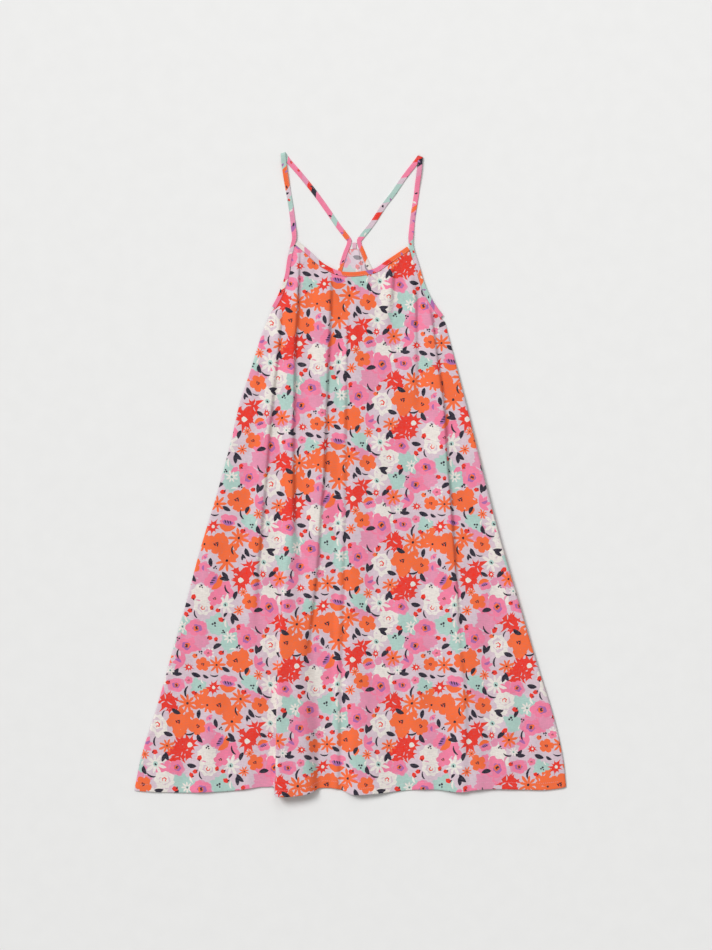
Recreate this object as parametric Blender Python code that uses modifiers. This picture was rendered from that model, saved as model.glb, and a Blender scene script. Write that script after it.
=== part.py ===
"""Girl's sleeveless A-line sun dress with thin straps and a racerback, laid flat with its front up.

Metres, +Z up. The dress lies on the surface Z = 0 with its neck toward +Y, its front toward +Z and the
wearer's right side at -X. The origin is under the middle of its bounding box.
Tables are in millimetres: "down" runs from the strap folds toward the hem, "across" from the centre line.
"""

import math

import bmesh
import bpy
import numpy as np

# Driving sizes of the dress
MM = 0.001
TOTAL_LENGTH = 852.8  # strap fold to the lowest point of the hem
ACROSS_MIDDLE = -0.1  # middle of the hem's width, from the centre line
WALL = 1.2  # one layer of cloth with its soft loft
GAP = 0.3  # between pieces that are sewn together
NECK_GAP = 0.5  # from the neck binding's middle line, where its sections make short chords
FRONT_BASE = 1.8  # underside of the front panel, above the back and its bindings
STRAP_WIDTH = 6.6
STRIP_THICK = 1.4  # four layers of folded strip, pressed
ARMHOLE_BINDING = 5.6
NECK_BINDING = 6.2
EDGE_ROUND = 0.5  # how far a strip's face edges are set in
SIDE_INSET = 0.5  # the back's side edges lie this far inside the front's

# Rows and columns of the panels' cloth
FRONT_ARMHOLE_ROWS = 8
BACK_ARMHOLE_ROWS = 14
SKIRT_ROWS = 20
COLUMNS_BETWEEN = (8, 5, 6, 7, 7, 8, 5, 6, 8)  # between one fold line and the next
COLUMN_BUNCHING = 0.8  # how closely the columns gather beside a fold line
BACK_COLUMNS = 12
STRIP_STEP = 8.0  # length of strip between two sections

# Side seams below the underarm (down, across)
LEFT_SIDE = [
    (210.0, -104.2),
    (237.0, -115.0),
    (292.0, -132.5),
    (331.0, -145.4),
    (380.0, -156.7),
    (456.0, -177.0),
    (529.0, -199.0),
    (601.0, -218.0),
    (677.0, -239.3),
    (739.0, -256.8),
    (801.0, -276.3),
    (846.5, -285.9),
]
RIGHT_SIDE = [
    (222.0, 124.4),
    (268.0, 136.2),
    (343.0, 155.2),
    (434.0, 177.4),
    (515.0, 198.5),
    (594.0, 221.8),
    (689.0, 250.2),
    (754.0, 270.4),
    (811.0, 282.6),
    (841.5, 285.7),
]

# Front hem and back hem (across, down)
FRONT_HEM = [
    (-285.9, 846.5),
    (-214.0, 848.5),
    (-146.0, 845.0),
    (-112.0, 841.0),
    (-100.0, 842.0),
    (-92.0, 850.5),
    (-80.0, 852.4),
    (-64.0, 850.0),
    (-41.0, 842.5),
    (-20.0, 843.0),
    (7.0, 850.5),
    (37.0, 849.5),
    (68.0, 846.0),
    (108.0, 844.0),
    (145.0, 847.5),
    (169.0, 844.5),
    (230.0, 844.5),
    (259.0, 845.0),
    (285.7, 841.5),
]
BACK_HEM = [
    (-285.4, 845.8),
    (-214.0, 845.5),
    (-146.0, 842.0),
    (-100.0, 836.5),
    (-20.0, 839.0),
    (108.0, 840.5),
    (230.0, 841.0),
    (285.2, 840.8),
]

# Middle line of the front neck binding, from the left neck corner to the right (across, down)
NECK_LINE = [
    (-70.9, 121.0),
    (-56.5, 133.5),
    (-33.0, 153.5),
    (-16.0, 161.0),
    (0.0, 163.0),
    (20.0, 161.2),
    (31.0, 159.0),
    (51.0, 146.2),
    (77.1, 128.7),
]

# Middle lines of the strips on each side (across, down)
STRAP_FRONT_RUN = {
    "left": [
        (-74.1, 116.7),
        (-75.3, 99.0),
        (-79.5, 67.0),
        (-82.1, 52.0),
        (-85.6, 31.0),
        (-88.0, 14.0),
    ],
    "right": [
        (80.3, 122.7),
        (81.6, 101.0),
        (83.2, 86.0),
        (87.5, 58.0),
        (89.3, 42.0),
        (91.3, 27.0),
        (92.5, 14.0),
    ],
}
STRAP_FOLD = {"left": (-88.6, 2.9), "right": (92.9, 6.4)}
STRAP_BACK_RUN = {
    "left": [
        (-81.4, 13.0),
        (-63.1, 34.0),
        (-41.3, 62.0),
        (-28.6, 80.0),
        (-15.6, 99.0),
        (-2.2, 118.2),
    ],
    "right": [
        (86.2, 15.5),
        (71.4, 34.5),
        (55.3, 58.0),
        (48.1, 67.0),
        (26.5, 99.0),
        (13.0, 118.2),
    ],
}
FRONT_ARMHOLE = {
    "left": [
        (-74.3, 117.0),
        (-76.4, 125.0),
        (-80.6, 144.0),
        (-83.2, 162.0),
        (-87.8, 178.0),
        (-94.2, 194.0),
        (-100.9, 206.6),
    ],
    "right": [
        (80.4, 123.0),
        (82.6, 133.0),
        (88.0, 150.0),
        (99.0, 184.0),
        (113.4, 209.0),
        (121.0, 218.6),
    ],
}
BACK_ARMHOLE = {
    "left": [
        (-1.9, 118.5),
        (-3.3, 134.0),
        (-9.0, 150.0),
        (-17.5, 176.0),
        (-28.0, 193.0),
        (-45.0, 204.5),
        (-66.0, 209.5),
        (-100.4, 210.4),
    ],
    "right": [
        (12.6, 118.5),
        (14.8, 134.0),
        (20.0, 145.5),
        (26.6, 157.0),
        (33.0, 176.0),
        (43.5, 194.0),
        (61.0, 209.0),
        (82.0, 217.5),
        (120.4, 221.6),
    ],
}
# Top edge of the bound tab between the two strap ends (across, down)
TAB_TOP = [(1.4, 120.6), (9.4, 120.6)]

# Folds of the front, a row for each section (down, left foot, crest, right foot, height)
FRONT_FOLDS = {
    "raised pleat on the left": [
        (128, -84, -78, -64, 2.0),
        (160, -86, -78, -67, 5.0),
        (200, -89, -78, -69, 7.0),
        (260, -94, -83, -71, 7.0),
        (320, -99, -86, -73, 6.5),
        (380, -95, -83, -72, 6.0),
        (450, -94, -83, -72, 6.0),
        (545, -94, -84, -64, 6.5),
        (627, -95, -84, -52, 8.0),
        (696, -99, -86, -46, 9.5),
        (764, -99, -86, -45, 11.5),
        (853, -103, -85, -43, 14.0),
    ],
    "layer beside the pleat": [
        (335, -150, -107, -101, 0.0),
        (400, -155, -114, -108, 3.0),
        (484, -165, -121, -115, 4.0),
        (545, -170, -127, -120, 3.0),
        (625, -180, -132, -125, 0.0),
    ],
    "left centre fold": [
        (150, -45, -27, -20, 2.0),
        (197, -50, -28, -21, 4.0),
        (246, -55, -31, -24, 4.5),
        (376, -58, -36, -29, 4.5),
        (437, -60, -38, -31, 4.0),
        (484, -62, -43, -36, 3.0),
        (545, -66, -47, -39, 1.0),
        (585, -68, -49, -41, 0.0),
    ],
    "pressed centre crease": [
        (235, -5, 0, 14, 0.0),
        (305, -6, -1, 16, 1.8),
        (382, -7, -2, 18, 2.2),
        (565, -11, -6, 22, 2.2),
        (690, -11, -6, 30, 2.6),
        (853, -14, -7, 55, 4.0),
    ],
    "right neck fold": [
        (135, 44, 56, 62, 2.0),
        (170, 42, 55, 62, 4.0),
        (197, 40, 53, 60, 3.5),
        (227, 38, 51, 58, 1.5),
        (255, 38, 50, 57, 0.0),
    ],
    "right chest fold": [
        (165, 72, 88, 95, 0.0),
        (193, 70, 87, 94, 3.0),
        (238, 66, 81, 89, 4.0),
        (292, 64, 79, 87, 3.0),
        (350, 60, 74, 84, 0.0),
    ],
    "long right fold": [
        (165, 92, 100, 106, 0.0),
        (196, 92, 103, 109, 1.5),
        (221, 88, 105, 112, 4.0),
        (264, 85, 109, 116, 6.0),
        (346, 88, 118, 125, 6.5),
        (456, 92, 125, 132, 6.5),
        (594, 98, 136, 143, 6.0),
        (703, 104, 145, 152, 5.0),
        (853, 108, 145, 155, 4.0),
    ],
}
# Lines that the front's columns follow, down the steep side of each fold (down, across)
COLUMN_LINES = [
    [(184, -87), (265, -94), (346, -104), (437, -114), (545, -122), (853, -132)],
    [(184, -80), (333, -89), (544, -91), (696, -96), (853, -99)],
    [(156, -66), (246, -71), (402, -74), (545, -73), (853, -60)],
    [(162, -23), (305, -29), (437, -34), (545, -42), (853, -46)],
    [(162, 4), (305, -3), (470, -6), (853, -11)],
    [(150, 59), (227, 56), (545, 54), (853, 56)],
    [(160, 86), (238, 85), (325, 82), (545, 96), (853, 104)],
    [(170, 104), (221, 110), (346, 123), (517, 136), (703, 150), (853, 152)],
]
LEAN = 0.3  # how far a crest leans over its steep side, for each unit of height
GATHER_COUNT = 13  # small gathers held by the neck binding
GATHER_HEIGHT = 0.9
GATHER_REACH = 26.0  # how far down they fade
SEAM_FLAT = 2.0  # this close to a binding the cloth lies flat in its seam
EDGE_EASE = 12.0  # and it rises to its folds' full height over this distance
TUCK_IN_BACK = [
    (118, 8.0, 10.0, 17, 0.4),
    (142, 11.5, 13.5, 20, 0.8),
    (156, 14.0, 16.0, 24, 0.3),
    (170, 15.0, 18.0, 26, 0.0),
]

CLOTH_COLOURS = {
    "front": (0.82, 0.45, 0.44),
    "back": (0.80, 0.50, 0.52),
    "strip": (0.86, 0.42, 0.45),
}


def clear_scene():
    for obj in list(bpy.data.objects):
        bpy.data.objects.remove(obj, do_unlink=True)


def cloth_material(name, colour):
    material = bpy.data.materials.new(name)
    material.use_nodes = True
    shader = material.node_tree.nodes["Principled BSDF"]
    shader.inputs["Base Color"].default_value = (*colour, 1.0)
    shader.inputs["Roughness"].default_value = 0.85
    shader.inputs["Metallic"].default_value = 0.0
    return material


def curve_through(rows):
    """A smooth function through rows of (position, value), level past both ends."""
    at, value = np.array(rows, float).T
    slope = np.gradient(value, at)

    def read(where):
        where = np.clip(where, at[0], at[-1])
        i = np.clip(np.searchsorted(at, where, side="right") - 1, 0, len(at) - 2)
        span = at[i + 1] - at[i]
        u = (where - at[i]) / span
        start = (1 + 2 * u) * (1 - u) ** 2 * value[i] + u * (1 - u) ** 2 * span * slope[i]
        end = u**2 * (3 - 2 * u) * value[i + 1] - u**2 * (1 - u) * span * slope[i + 1]
        return start + end

    return read


def smooth_path(points, step=1.0):
    """Points a step apart along a smooth line through the given ones."""
    points = np.array(points, float)
    chord = np.concatenate([[0.0], np.cumsum(np.linalg.norm(np.diff(points, axis=0), axis=1))])
    across = curve_through(list(zip(chord, points[:, 0])))
    down = curve_through(list(zip(chord, points[:, 1])))
    count = max(3, round(chord[-1] / step) + 1)
    where = np.linspace(0.0, chord[-1], count)
    return np.column_stack([across(where), down(where)])


def headings(path):
    """Unit directions along a path."""
    along = np.gradient(path, axis=0)
    return along / np.linalg.norm(along, axis=1)[:, None]


def beside(path, distance):
    """The path moved sideways; a positive distance is toward the hem on a path that runs to +X."""
    along = headings(path)
    return path + distance * np.column_stack([-along[:, 1], along[:, 0]])


def lengthened(path, extra):
    along = headings(path)
    return np.vstack([path[0] - extra * along[0], path, path[-1] + extra * along[-1]])


def crossing(first, second):
    """Indices where two dense paths come closest."""
    distance = np.linalg.norm(first[:, None] - second[None], axis=2)
    return np.unravel_index(distance.argmin(), distance.shape)


def spaced(path, count, flat=0.0):
    """The path read at evenly spaced places, with one more place close to its start where flat says so."""
    walked = np.concatenate([[0.0], np.cumsum(np.linalg.norm(np.diff(path, axis=0), axis=1))])
    where = np.linspace(0.0, walked[-1], count)
    if flat:
        where = np.insert(where, 1, flat)
    return np.column_stack([np.interp(where, walked, path[:, 0]), np.interp(where, walked, path[:, 1])])


def to_world(across, down, height):
    return (
        (across - ACROSS_MIDDLE) * MM,
        (TOTAL_LENGTH / 2 - down) * MM,
        height * MM,
    )


def ridge_height(across, down, rows):
    """Height of one fold over its two feet, and which way its steep side faces."""
    rows = np.array(rows, float)
    left, crest, right, high = (curve_through(rows[:, [0, k]])(down) for k in (1, 2, 3, 4))
    reach = np.where(across < crest, crest - left, right - crest)
    rise = 0.5 + 0.5 * np.cos(np.pi * np.clip(np.abs(across - crest) / reach, 0.0, 1.0))
    steep_side = np.sign((crest - left) - (right - crest))
    height = np.maximum(high, 0.0) * rise
    return height, steep_side * height


def fold_form(across, down, folds):
    """Height of all the folds together, and how far the cloth leans sideways there."""
    total = np.zeros_like(across)
    lean = np.zeros_like(across)
    for rows in folds:
        height, leaning = ridge_height(across, down, rows)
        total += height**3
        lean += LEAN * leaning
    return np.cbrt(total), lean


def smooth_step(share):
    share = np.clip(share, 0.0, 1.0)
    return share * share * (3 - 2 * share)


def column_places(left, right, line_of_down):
    """Fractions across one row for every column, bunched at the lines that the folds follow."""
    width = right[0] - left[0]
    places = []
    for line in COLUMN_LINES:
        read = curve_through(line)
        place = 0.5
        for _ in range(3):
            place = np.clip((read(line_of_down(place)) - left[0]) / width, 0.0, 1.0)
        places.append(float(place))
    nearest = 0.035
    for k in range(len(places)):
        places[k] = max(places[k], (places[k - 1] if k else 0.0) + nearest)
    for k in reversed(range(len(places))):
        places[k] = min(places[k], (places[k + 1] if k + 1 < len(places) else 1.0) - nearest)
    stops = [0.0, *places, 1.0]
    columns = [0.0]
    for k, (start, end, count) in enumerate(zip(stops[:-1], stops[1:], COLUMNS_BETWEEN)):
        u = np.arange(1, count + 1) / count
        if k == 0:
            bunched = u + COLUMN_BUNCHING * u * (1 - u)
        elif k == len(places):
            bunched = u - COLUMN_BUNCHING * u * (1 - u)
        else:
            bunched = u - COLUMN_BUNCHING * np.sin(2 * np.pi * u) / (2 * np.pi)
        columns.extend(start + (end - start) * bunched)
    return np.array(columns)


def panel_rows(left_rows, right_rows, top_edge, hem_edge, columns_of):
    """Points (across, down) of a panel, row by row, between its side edges, top edge and hem."""
    middles = (left_rows[:, 1] + right_rows[:, 1]) / 2
    shares = np.clip((middles - middles[0]) / (middles[-1] - middles[0]), 0.0, 1.0)
    grid = []
    for left, right, share in zip(left_rows, right_rows, shares):
        from_top = max(0.0, 1.0 - share / 0.45) ** 2
        from_hem = share**8

        def down_at(place, left=left, right=right, from_top=from_top, from_hem=from_hem):
            place = np.asarray(place, float)
            straight = left[1] + (right[1] - left[1]) * place
            top_chord = left_rows[0, 1] + (right_rows[0, 1] - left_rows[0, 1]) * place
            hem_chord = left_rows[-1, 1] + (right_rows[-1, 1] - left_rows[-1, 1]) * place
            top_across = left_rows[0, 0] + (right_rows[0, 0] - left_rows[0, 0]) * place
            hem_across = left_rows[-1, 0] + (right_rows[-1, 0] - left_rows[-1, 0]) * place
            sag = (top_edge(top_across) - top_chord) * from_top
            return straight + sag + (hem_edge(hem_across) - hem_chord) * from_hem

        places = columns_of(left, right, down_at)
        grid.append(np.column_stack([left[0] + (right[0] - left[0]) * places, down_at(places), places]))
    return np.array(grid)


def side_rows(armhole_edge, side_table, inset):
    """Edge points of a panel down one side: along the armhole, then down the side seam."""
    table = np.array(side_table, float)
    read = curve_through(table)
    down = np.linspace(table[0, 0], table[-1, 0], SKIRT_ROWS + 1)
    seam = np.column_stack([read(down) - np.sign(table[0, 1]) * inset, down])
    return np.vstack([armhole_edge, seam])


def front_grid():
    neck = beside(lengthened(smooth_path(NECK_LINE, 0.5), 6.0), NECK_BINDING / 2 + NECK_GAP)
    armholes = {}
    ends = {}
    for side, toward_body in (("left", -1), ("right", 1)):
        reach = ARMHOLE_BINDING / 2 + GAP
        edge = beside(smooth_path(FRONT_ARMHOLE[side], 0.5), toward_body * reach)
        on_neck, on_edge = crossing(neck, edge)
        ends[side] = on_neck
        armholes[side] = spaced(edge[on_edge:], FRONT_ARMHOLE_ROWS, SEAM_FLAT)
    top = neck[ends["left"] : ends["right"] + 1]

    def top_edge(across):
        return np.interp(across, top[:, 0], top[:, 1])

    left = side_rows(armholes["left"], LEFT_SIDE, 0.0)
    right = side_rows(armholes["right"], RIGHT_SIDE, 0.0)
    return panel_rows(left, right, top_edge, curve_through(FRONT_HEM), column_places), top_edge


def front_heights(grid, top_edge):
    """Height of the front's underside over the surface, and its lean."""
    across, down, place = grid[..., 0], grid[..., 1], grid[..., 2]
    folds, lean = fold_form(across, down, FRONT_FOLDS.values())
    below_neck = down - top_edge(across)
    from_side = np.minimum(across - across[:, :1], across[:, -1:] - across)
    at_armhole = np.arange(len(grid))[:, None] <= FRONT_ARMHOLE_ROWS
    held = smooth_step((below_neck - SEAM_FLAT) / EDGE_EASE)
    held = held * np.where(at_armhole, smooth_step((from_side - SEAM_FLAT) / EDGE_EASE), 1.0)
    turns = GATHER_COUNT * place + 0.35 * np.sin(9.0 * place)
    waves = 0.5 - 0.5 * np.cos(2 * np.pi * turns)
    gathers = GATHER_HEIGHT * waves * np.exp(-((below_neck / GATHER_REACH) ** 2))
    gathers = gathers * smooth_step((below_neck - SEAM_FLAT) / (EDGE_EASE / 2))
    seam_drop = np.where(at_armhole, 0.0, (FRONT_BASE - WALL - GAP) * (1 - smooth_step(from_side / EDGE_EASE)))
    return FRONT_BASE + folds * held + gathers - seam_drop, lean * held


def back_armhole_path(side):
    """Middle line of a back armhole binding; the panel's edge is made from the same points."""
    return spaced(smooth_path(BACK_ARMHOLE[side], 0.5), BACK_ARMHOLE_ROWS + 1)


def back_grid():
    armholes = {}
    for side, toward_body in (("left", -1), ("right", 1)):
        edge = beside(back_armhole_path(side), toward_body * (ARMHOLE_BINDING / 2 + GAP))
        armholes[side] = edge[1:]
    left = side_rows(armholes["left"], [(216.0, -106.0), *LEFT_SIDE[1:]], SIDE_INSET)
    right = side_rows(armholes["right"], [(227.5, 125.6), *RIGHT_SIDE[1:]], SIDE_INSET)

    def top_edge(across):
        return np.interp(across, [left[0, 0], right[0, 0]], [left[0, 1], right[0, 1]])

    def even_columns(_left, _right, _down_at):
        return np.linspace(0.0, 1.0, BACK_COLUMNS + 1)

    return panel_rows(left, right, top_edge, curve_through(BACK_HEM), even_columns)


def add_object(name, mesh, collection, material):
    mesh.materials.append(material)
    obj = bpy.data.objects.new(name, mesh)
    collection.objects.link(obj)
    return obj


def cloth_panel(name, grid, heights, lean, collection, material):
    """One panel: an open sheet through the rows, made a wall by Solidify on its upper side."""
    rows, columns = grid.shape[:2]
    sheet = bmesh.new()
    corners = [
        [
            sheet.verts.new(to_world(grid[r, c, 0] + lean[r, c], grid[r, c, 1], heights[r, c]))
            for c in range(columns)
        ]
        for r in range(rows)
    ]
    for r in range(rows - 1):
        for c in range(columns - 1):
            sheet.faces.new(
                (corners[r][c], corners[r + 1][c], corners[r + 1][c + 1], corners[r][c + 1])
            )
    mesh = bpy.data.meshes.new(name)
    sheet.to_mesh(mesh)
    sheet.free()
    mesh.shade_smooth()
    panel = add_object(name, mesh, collection, material)
    wall = panel.modifiers.new("Cloth wall", "SOLIDIFY")
    wall.thickness = WALL * MM
    wall.offset = 1.0
    wall.use_even_offset = True
    wall.use_quality_normals = True
    return panel


def strip_body(name, sections, collection, material):
    """A flat strip lofted through sections of four corners each, closed at both ends."""
    strip = bmesh.new()
    rings = [[strip.verts.new(to_world(*corner)) for corner in section] for section in sections]
    for first, second in zip(rings[:-1], rings[1:]):
        for k in range(4):
            strip.faces.new((first[k], first[(k + 1) % 4], second[(k + 1) % 4], second[k]))
    strip.faces.new(list(reversed(rings[0])))
    strip.faces.new(rings[-1])
    bmesh.ops.recalc_face_normals(strip, faces=strip.faces)
    mesh = bpy.data.meshes.new(name)
    strip.to_mesh(mesh)
    strip.free()
    return add_object(name, mesh, collection, material)


def section(middle, half, low, high):
    """Four corners of a strip section: its inner face, then its outer face with the edges set in."""
    half = np.asarray(half, float)
    inset = half * (1 - EDGE_ROUND / np.linalg.norm(half))
    return [
        (*(middle - half), low),
        (*(middle + half), low),
        (*(middle + inset), high),
        (*(middle - inset), high),
    ]


def cut_half(along, width, cut=None):
    """Half the strip's width as a vector, square to the strip or along a slanting cut."""
    square = np.array([-along[1], along[0]])
    if cut is None:
        return square * width / 2
    cut = np.array(cut, float) / np.linalg.norm(cut)
    return cut * (width / 2) / float(cut @ square)


def binding_sections(path, width, low, start_cut=None, end_cut=None):
    """Sections along a binding that lies at one height."""
    along = headings(path)
    cuts = [start_cut, *[None] * (len(path) - 2), end_cut]
    return [
        section(point, cut_half(way, width, cut), low, low + STRIP_THICK)
        for point, way, cut in zip(path, along, cuts)
    ]


def strap_sections(side):
    """Sections of a strap: up the front run, over the fold and down the back run."""
    upper = STRIP_THICK + GAP
    turn_middle = STRIP_THICK + GAP / 2
    fold_point = np.array(STRAP_FOLD[side])
    front = smooth_path(STRAP_FRONT_RUN[side], STRIP_STEP)
    back = smooth_path(STRAP_BACK_RUN[side], STRIP_STEP)
    going = fold_point - front[-1]
    going /= np.linalg.norm(going)
    coming = back[0] - fold_point
    coming /= np.linalg.norm(coming)
    fold_line = (going + coming) / np.linalg.norm(going + coming)
    away = going - fold_line * float(going @ fold_line)
    away /= np.linalg.norm(away)

    left_to_go = np.linalg.norm(np.diff(np.vstack([front, fold_point]), axis=0), axis=1)
    to_fold = np.cumsum(left_to_go[::-1])[::-1]
    from_neck = np.concatenate([[0.0], np.cumsum(left_to_go[:-1])])
    sections = []
    for point, way, near_fold, near_neck in zip(front, headings(front), to_fold, from_neck):
        at_fold = upper * smooth_step((56.0 - near_fold) / 36.0)
        at_neck = FRONT_BASE * smooth_step((30.0 - near_neck) / 26.0)
        low = max(at_fold, at_neck)
        cut = (1.0, 0.0) if near_neck == 0.0 else None
        sections.append(section(point, -cut_half(way, STRAP_WIDTH, cut), low, low + STRIP_THICK))
    edge = -cut_half(going, STRAP_WIDTH, fold_line)
    for angle in np.radians([0, 45, 90, 135, 180]):
        inner, outer = GAP / 2, STRIP_THICK + GAP / 2
        corners = section(fold_point, edge, turn_middle, turn_middle)
        placed = []
        for corner, radius in zip(corners, (inner, inner, outer, outer)):
            plan = np.array(corner[:2]) + away * radius * math.sin(angle)
            placed.append((*plan, turn_middle + radius * math.cos(angle)))
        sections.append(placed)
    for k, (point, way) in enumerate(zip(back, headings(back))):
        cut = (-1.0, 0.0) if k == len(back) - 1 else None
        sections.append(section(point, cut_half(way, STRAP_WIDTH, cut), STRIP_THICK, 0.0))
    return sections


def add_panels(collection):
    grid, top_edge = front_grid()
    heights, lean = front_heights(grid, top_edge)
    cloth_panel(
        "front_panel", grid, heights, lean, collection, cloth_material("Front cloth", CLOTH_COLOURS["front"])
    )
    grid = back_grid()
    heights, lean = fold_form(grid[..., 0], grid[..., 1], [TUCK_IN_BACK])
    cloth_panel(
        "back_panel", grid, heights, lean, collection, cloth_material("Back cloth", CLOTH_COLOURS["back"])
    )


def add_strips(collection):
    cloth = cloth_material("Strip cloth", CLOTH_COLOURS["strip"])
    neck = smooth_path(NECK_LINE, STRIP_STEP)
    upright = (0.0, 1.0)
    strip_body(
        "neck_binding",
        binding_sections(neck, NECK_BINDING, FRONT_BASE, upright, upright),
        collection,
        cloth,
    )
    for side in ("left", "right"):
        strip_body(f"{side}_strap", strap_sections(side), collection, cloth)
        front = smooth_path(FRONT_ARMHOLE[side], STRIP_STEP)
        strip_body(
            f"{side}_front_armhole_binding",
            binding_sections(front, ARMHOLE_BINDING, FRONT_BASE, start_cut=(-1.0, 0.0)),
            collection,
            cloth,
        )
        back = back_armhole_path(side)
        strip_body(
            f"{side}_back_armhole_binding",
            binding_sections(back, ARMHOLE_BINDING, 0.0, start_cut=(-1.0, 0.0)),
            collection,
            cloth,
        )
    panel_top = back_grid()[0]
    lower_edge = panel_top[[0, -1], :2] - (0.0, GAP)
    tab = []
    for left_end, right_end in (np.array(TAB_TOP), lower_edge):
        tab.append(section((left_end + right_end) / 2, (right_end - left_end) / 2, 0.0, STRIP_THICK))
    strip_body("back_neck_tab", tab, collection, cloth)


def build_dress():
    clear_scene()
    dress = bpy.data.collections.new("Girls_sun_dress")
    bpy.context.scene.collection.children.link(dress)
    add_panels(dress)
    add_strips(dress)


build_dress()
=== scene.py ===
# %% [markdown]
# A girl's sleeveless sun dress lies flat on a pale surface, front up. Its solids are loaded as a frame:
# plain walls of the right size. This lesson dresses them in real cloth, piece by piece: printed panels with
# their folds, bound edges, straps, seams and stitches. Everything is in metres in the frame's own axes, and
# the tables are in millimetres, as a pattern cutter writes them: "across" from the centre line, with the
# wearer's right side negative, and "down" from the fold at the top of the straps.

# %% Load the frame
import math
import random

import bmesh
import bpy
import numpy as np
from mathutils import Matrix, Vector
from mathutils.bvhtree import BVHTree
from mathutils.geometry import delaunay_2d_cdt


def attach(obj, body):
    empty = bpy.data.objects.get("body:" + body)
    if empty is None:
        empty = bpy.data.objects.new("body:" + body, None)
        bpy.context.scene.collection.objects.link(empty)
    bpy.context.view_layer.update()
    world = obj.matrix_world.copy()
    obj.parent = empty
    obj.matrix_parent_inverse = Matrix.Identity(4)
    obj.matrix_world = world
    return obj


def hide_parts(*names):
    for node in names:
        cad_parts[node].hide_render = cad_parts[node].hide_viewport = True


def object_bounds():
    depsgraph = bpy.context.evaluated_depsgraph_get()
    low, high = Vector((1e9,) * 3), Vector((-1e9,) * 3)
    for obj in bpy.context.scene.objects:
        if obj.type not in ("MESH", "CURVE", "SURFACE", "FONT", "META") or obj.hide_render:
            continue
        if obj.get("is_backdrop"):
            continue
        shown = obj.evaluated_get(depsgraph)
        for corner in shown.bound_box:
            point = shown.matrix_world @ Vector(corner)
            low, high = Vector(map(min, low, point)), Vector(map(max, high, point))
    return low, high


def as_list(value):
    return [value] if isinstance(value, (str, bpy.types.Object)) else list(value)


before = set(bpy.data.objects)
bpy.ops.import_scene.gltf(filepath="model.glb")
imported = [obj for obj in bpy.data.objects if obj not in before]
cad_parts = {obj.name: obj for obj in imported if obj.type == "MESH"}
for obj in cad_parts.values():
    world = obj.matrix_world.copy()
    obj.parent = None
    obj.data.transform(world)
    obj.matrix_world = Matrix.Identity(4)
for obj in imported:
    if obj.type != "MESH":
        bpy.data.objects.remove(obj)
cad_low, cad_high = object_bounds()
print("frame box in mm:", [round(1000 * x, 1) for x in (*cad_low, *cad_high)])

# %% Sizes that the frame and the tables share
MM = 0.001
TOTAL_LENGTH = 852.8
ACROSS_MIDDLE = -0.1
STRAP_WIDTH = 6.6
STRIP_THICK = 1.4
ARMHOLE_BINDING = 5.6
NECK_BINDING = 6.2
FRONT_BASE = 1.8
CLOTH_THICKNESS = 0.45
TABLE_TO_FRAME = np.array([1.0, -1.0, 1.0])  # down on the tables is -Y in the frame


def to_world(across, down, height):
    """Millimetres on the tables to metres in the frame."""
    return np.column_stack([(across - ACROSS_MIDDLE) * MM, (TOTAL_LENGTH / 2 - down) * MM, height * MM])


# %% [markdown]
# A garment's lines are drawn with few points and a smooth curve through them. Reading a table with a cubic
# curve keeps the measured points exact, and one reader serves seams, hems, folds and creases alike.


# %% Curves through a few rows
def curve_through(rows):
    """A smooth function through rows of (position, value), level past both ends."""
    at, value = np.array(rows, float).T
    slope = np.gradient(value, at)

    def read(where):
        where = np.clip(where, at[0], at[-1])
        i = np.clip(np.searchsorted(at, where, side="right") - 1, 0, len(at) - 2)
        span = at[i + 1] - at[i]
        u = (where - at[i]) / span
        start = (1 + 2 * u) * (1 - u) ** 2 * value[i] + u * (1 - u) ** 2 * span * slope[i]
        end = u**2 * (3 - 2 * u) * value[i + 1] - u**2 * (1 - u) * span * slope[i + 1]
        return start + end

    return read


def walked(path):
    """Distance walked along a path at each of its points."""
    return np.concatenate([[0.0], np.cumsum(np.linalg.norm(np.diff(path, axis=0), axis=1))])


def smooth_path(points, step=1.0):
    """Points a step apart along a smooth line through the given ones."""
    points = np.array(points, float)
    chord = walked(points)
    reads = [curve_through(np.column_stack([chord, points[:, k]])) for k in range(points.shape[1])]
    where = np.linspace(0.0, chord[-1], max(3, round(chord[-1] / step) + 1))
    return np.column_stack([read(where) for read in reads])


def unit(vectors):
    """Vectors brought to a length of one."""
    return vectors / np.linalg.norm(vectors, axis=-1, keepdims=True)


def headings(path):
    return unit(np.gradient(path, axis=0))


def square_to(along):
    """Directions a quarter turn from the given ones; toward the hem where those run to +X."""
    return np.column_stack([-along[:, 1], along[:, 0]])


def beside(path, distance):
    """The path moved sideways."""
    return path + distance * square_to(headings(path))


def smooth_step(share):
    share = np.clip(share, 0.0, 1.0)
    return share * share * (3 - 2 * share)


def eased(where, start, end):
    """From 0 at the start to 1 at the end, with a soft beginning and finish."""
    return smooth_step((where - start) / (end - start))


# %% [markdown]
# The outlines are those of the solids: two flared side seams, a hem that waves a little where folds lift it,
# a scooped neck, and armholes cut deeper at the back, so that only a narrow tongue of the back reaches up
# between the shoulder blades. They are repeated here because this script reads nothing but the frame.

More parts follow.
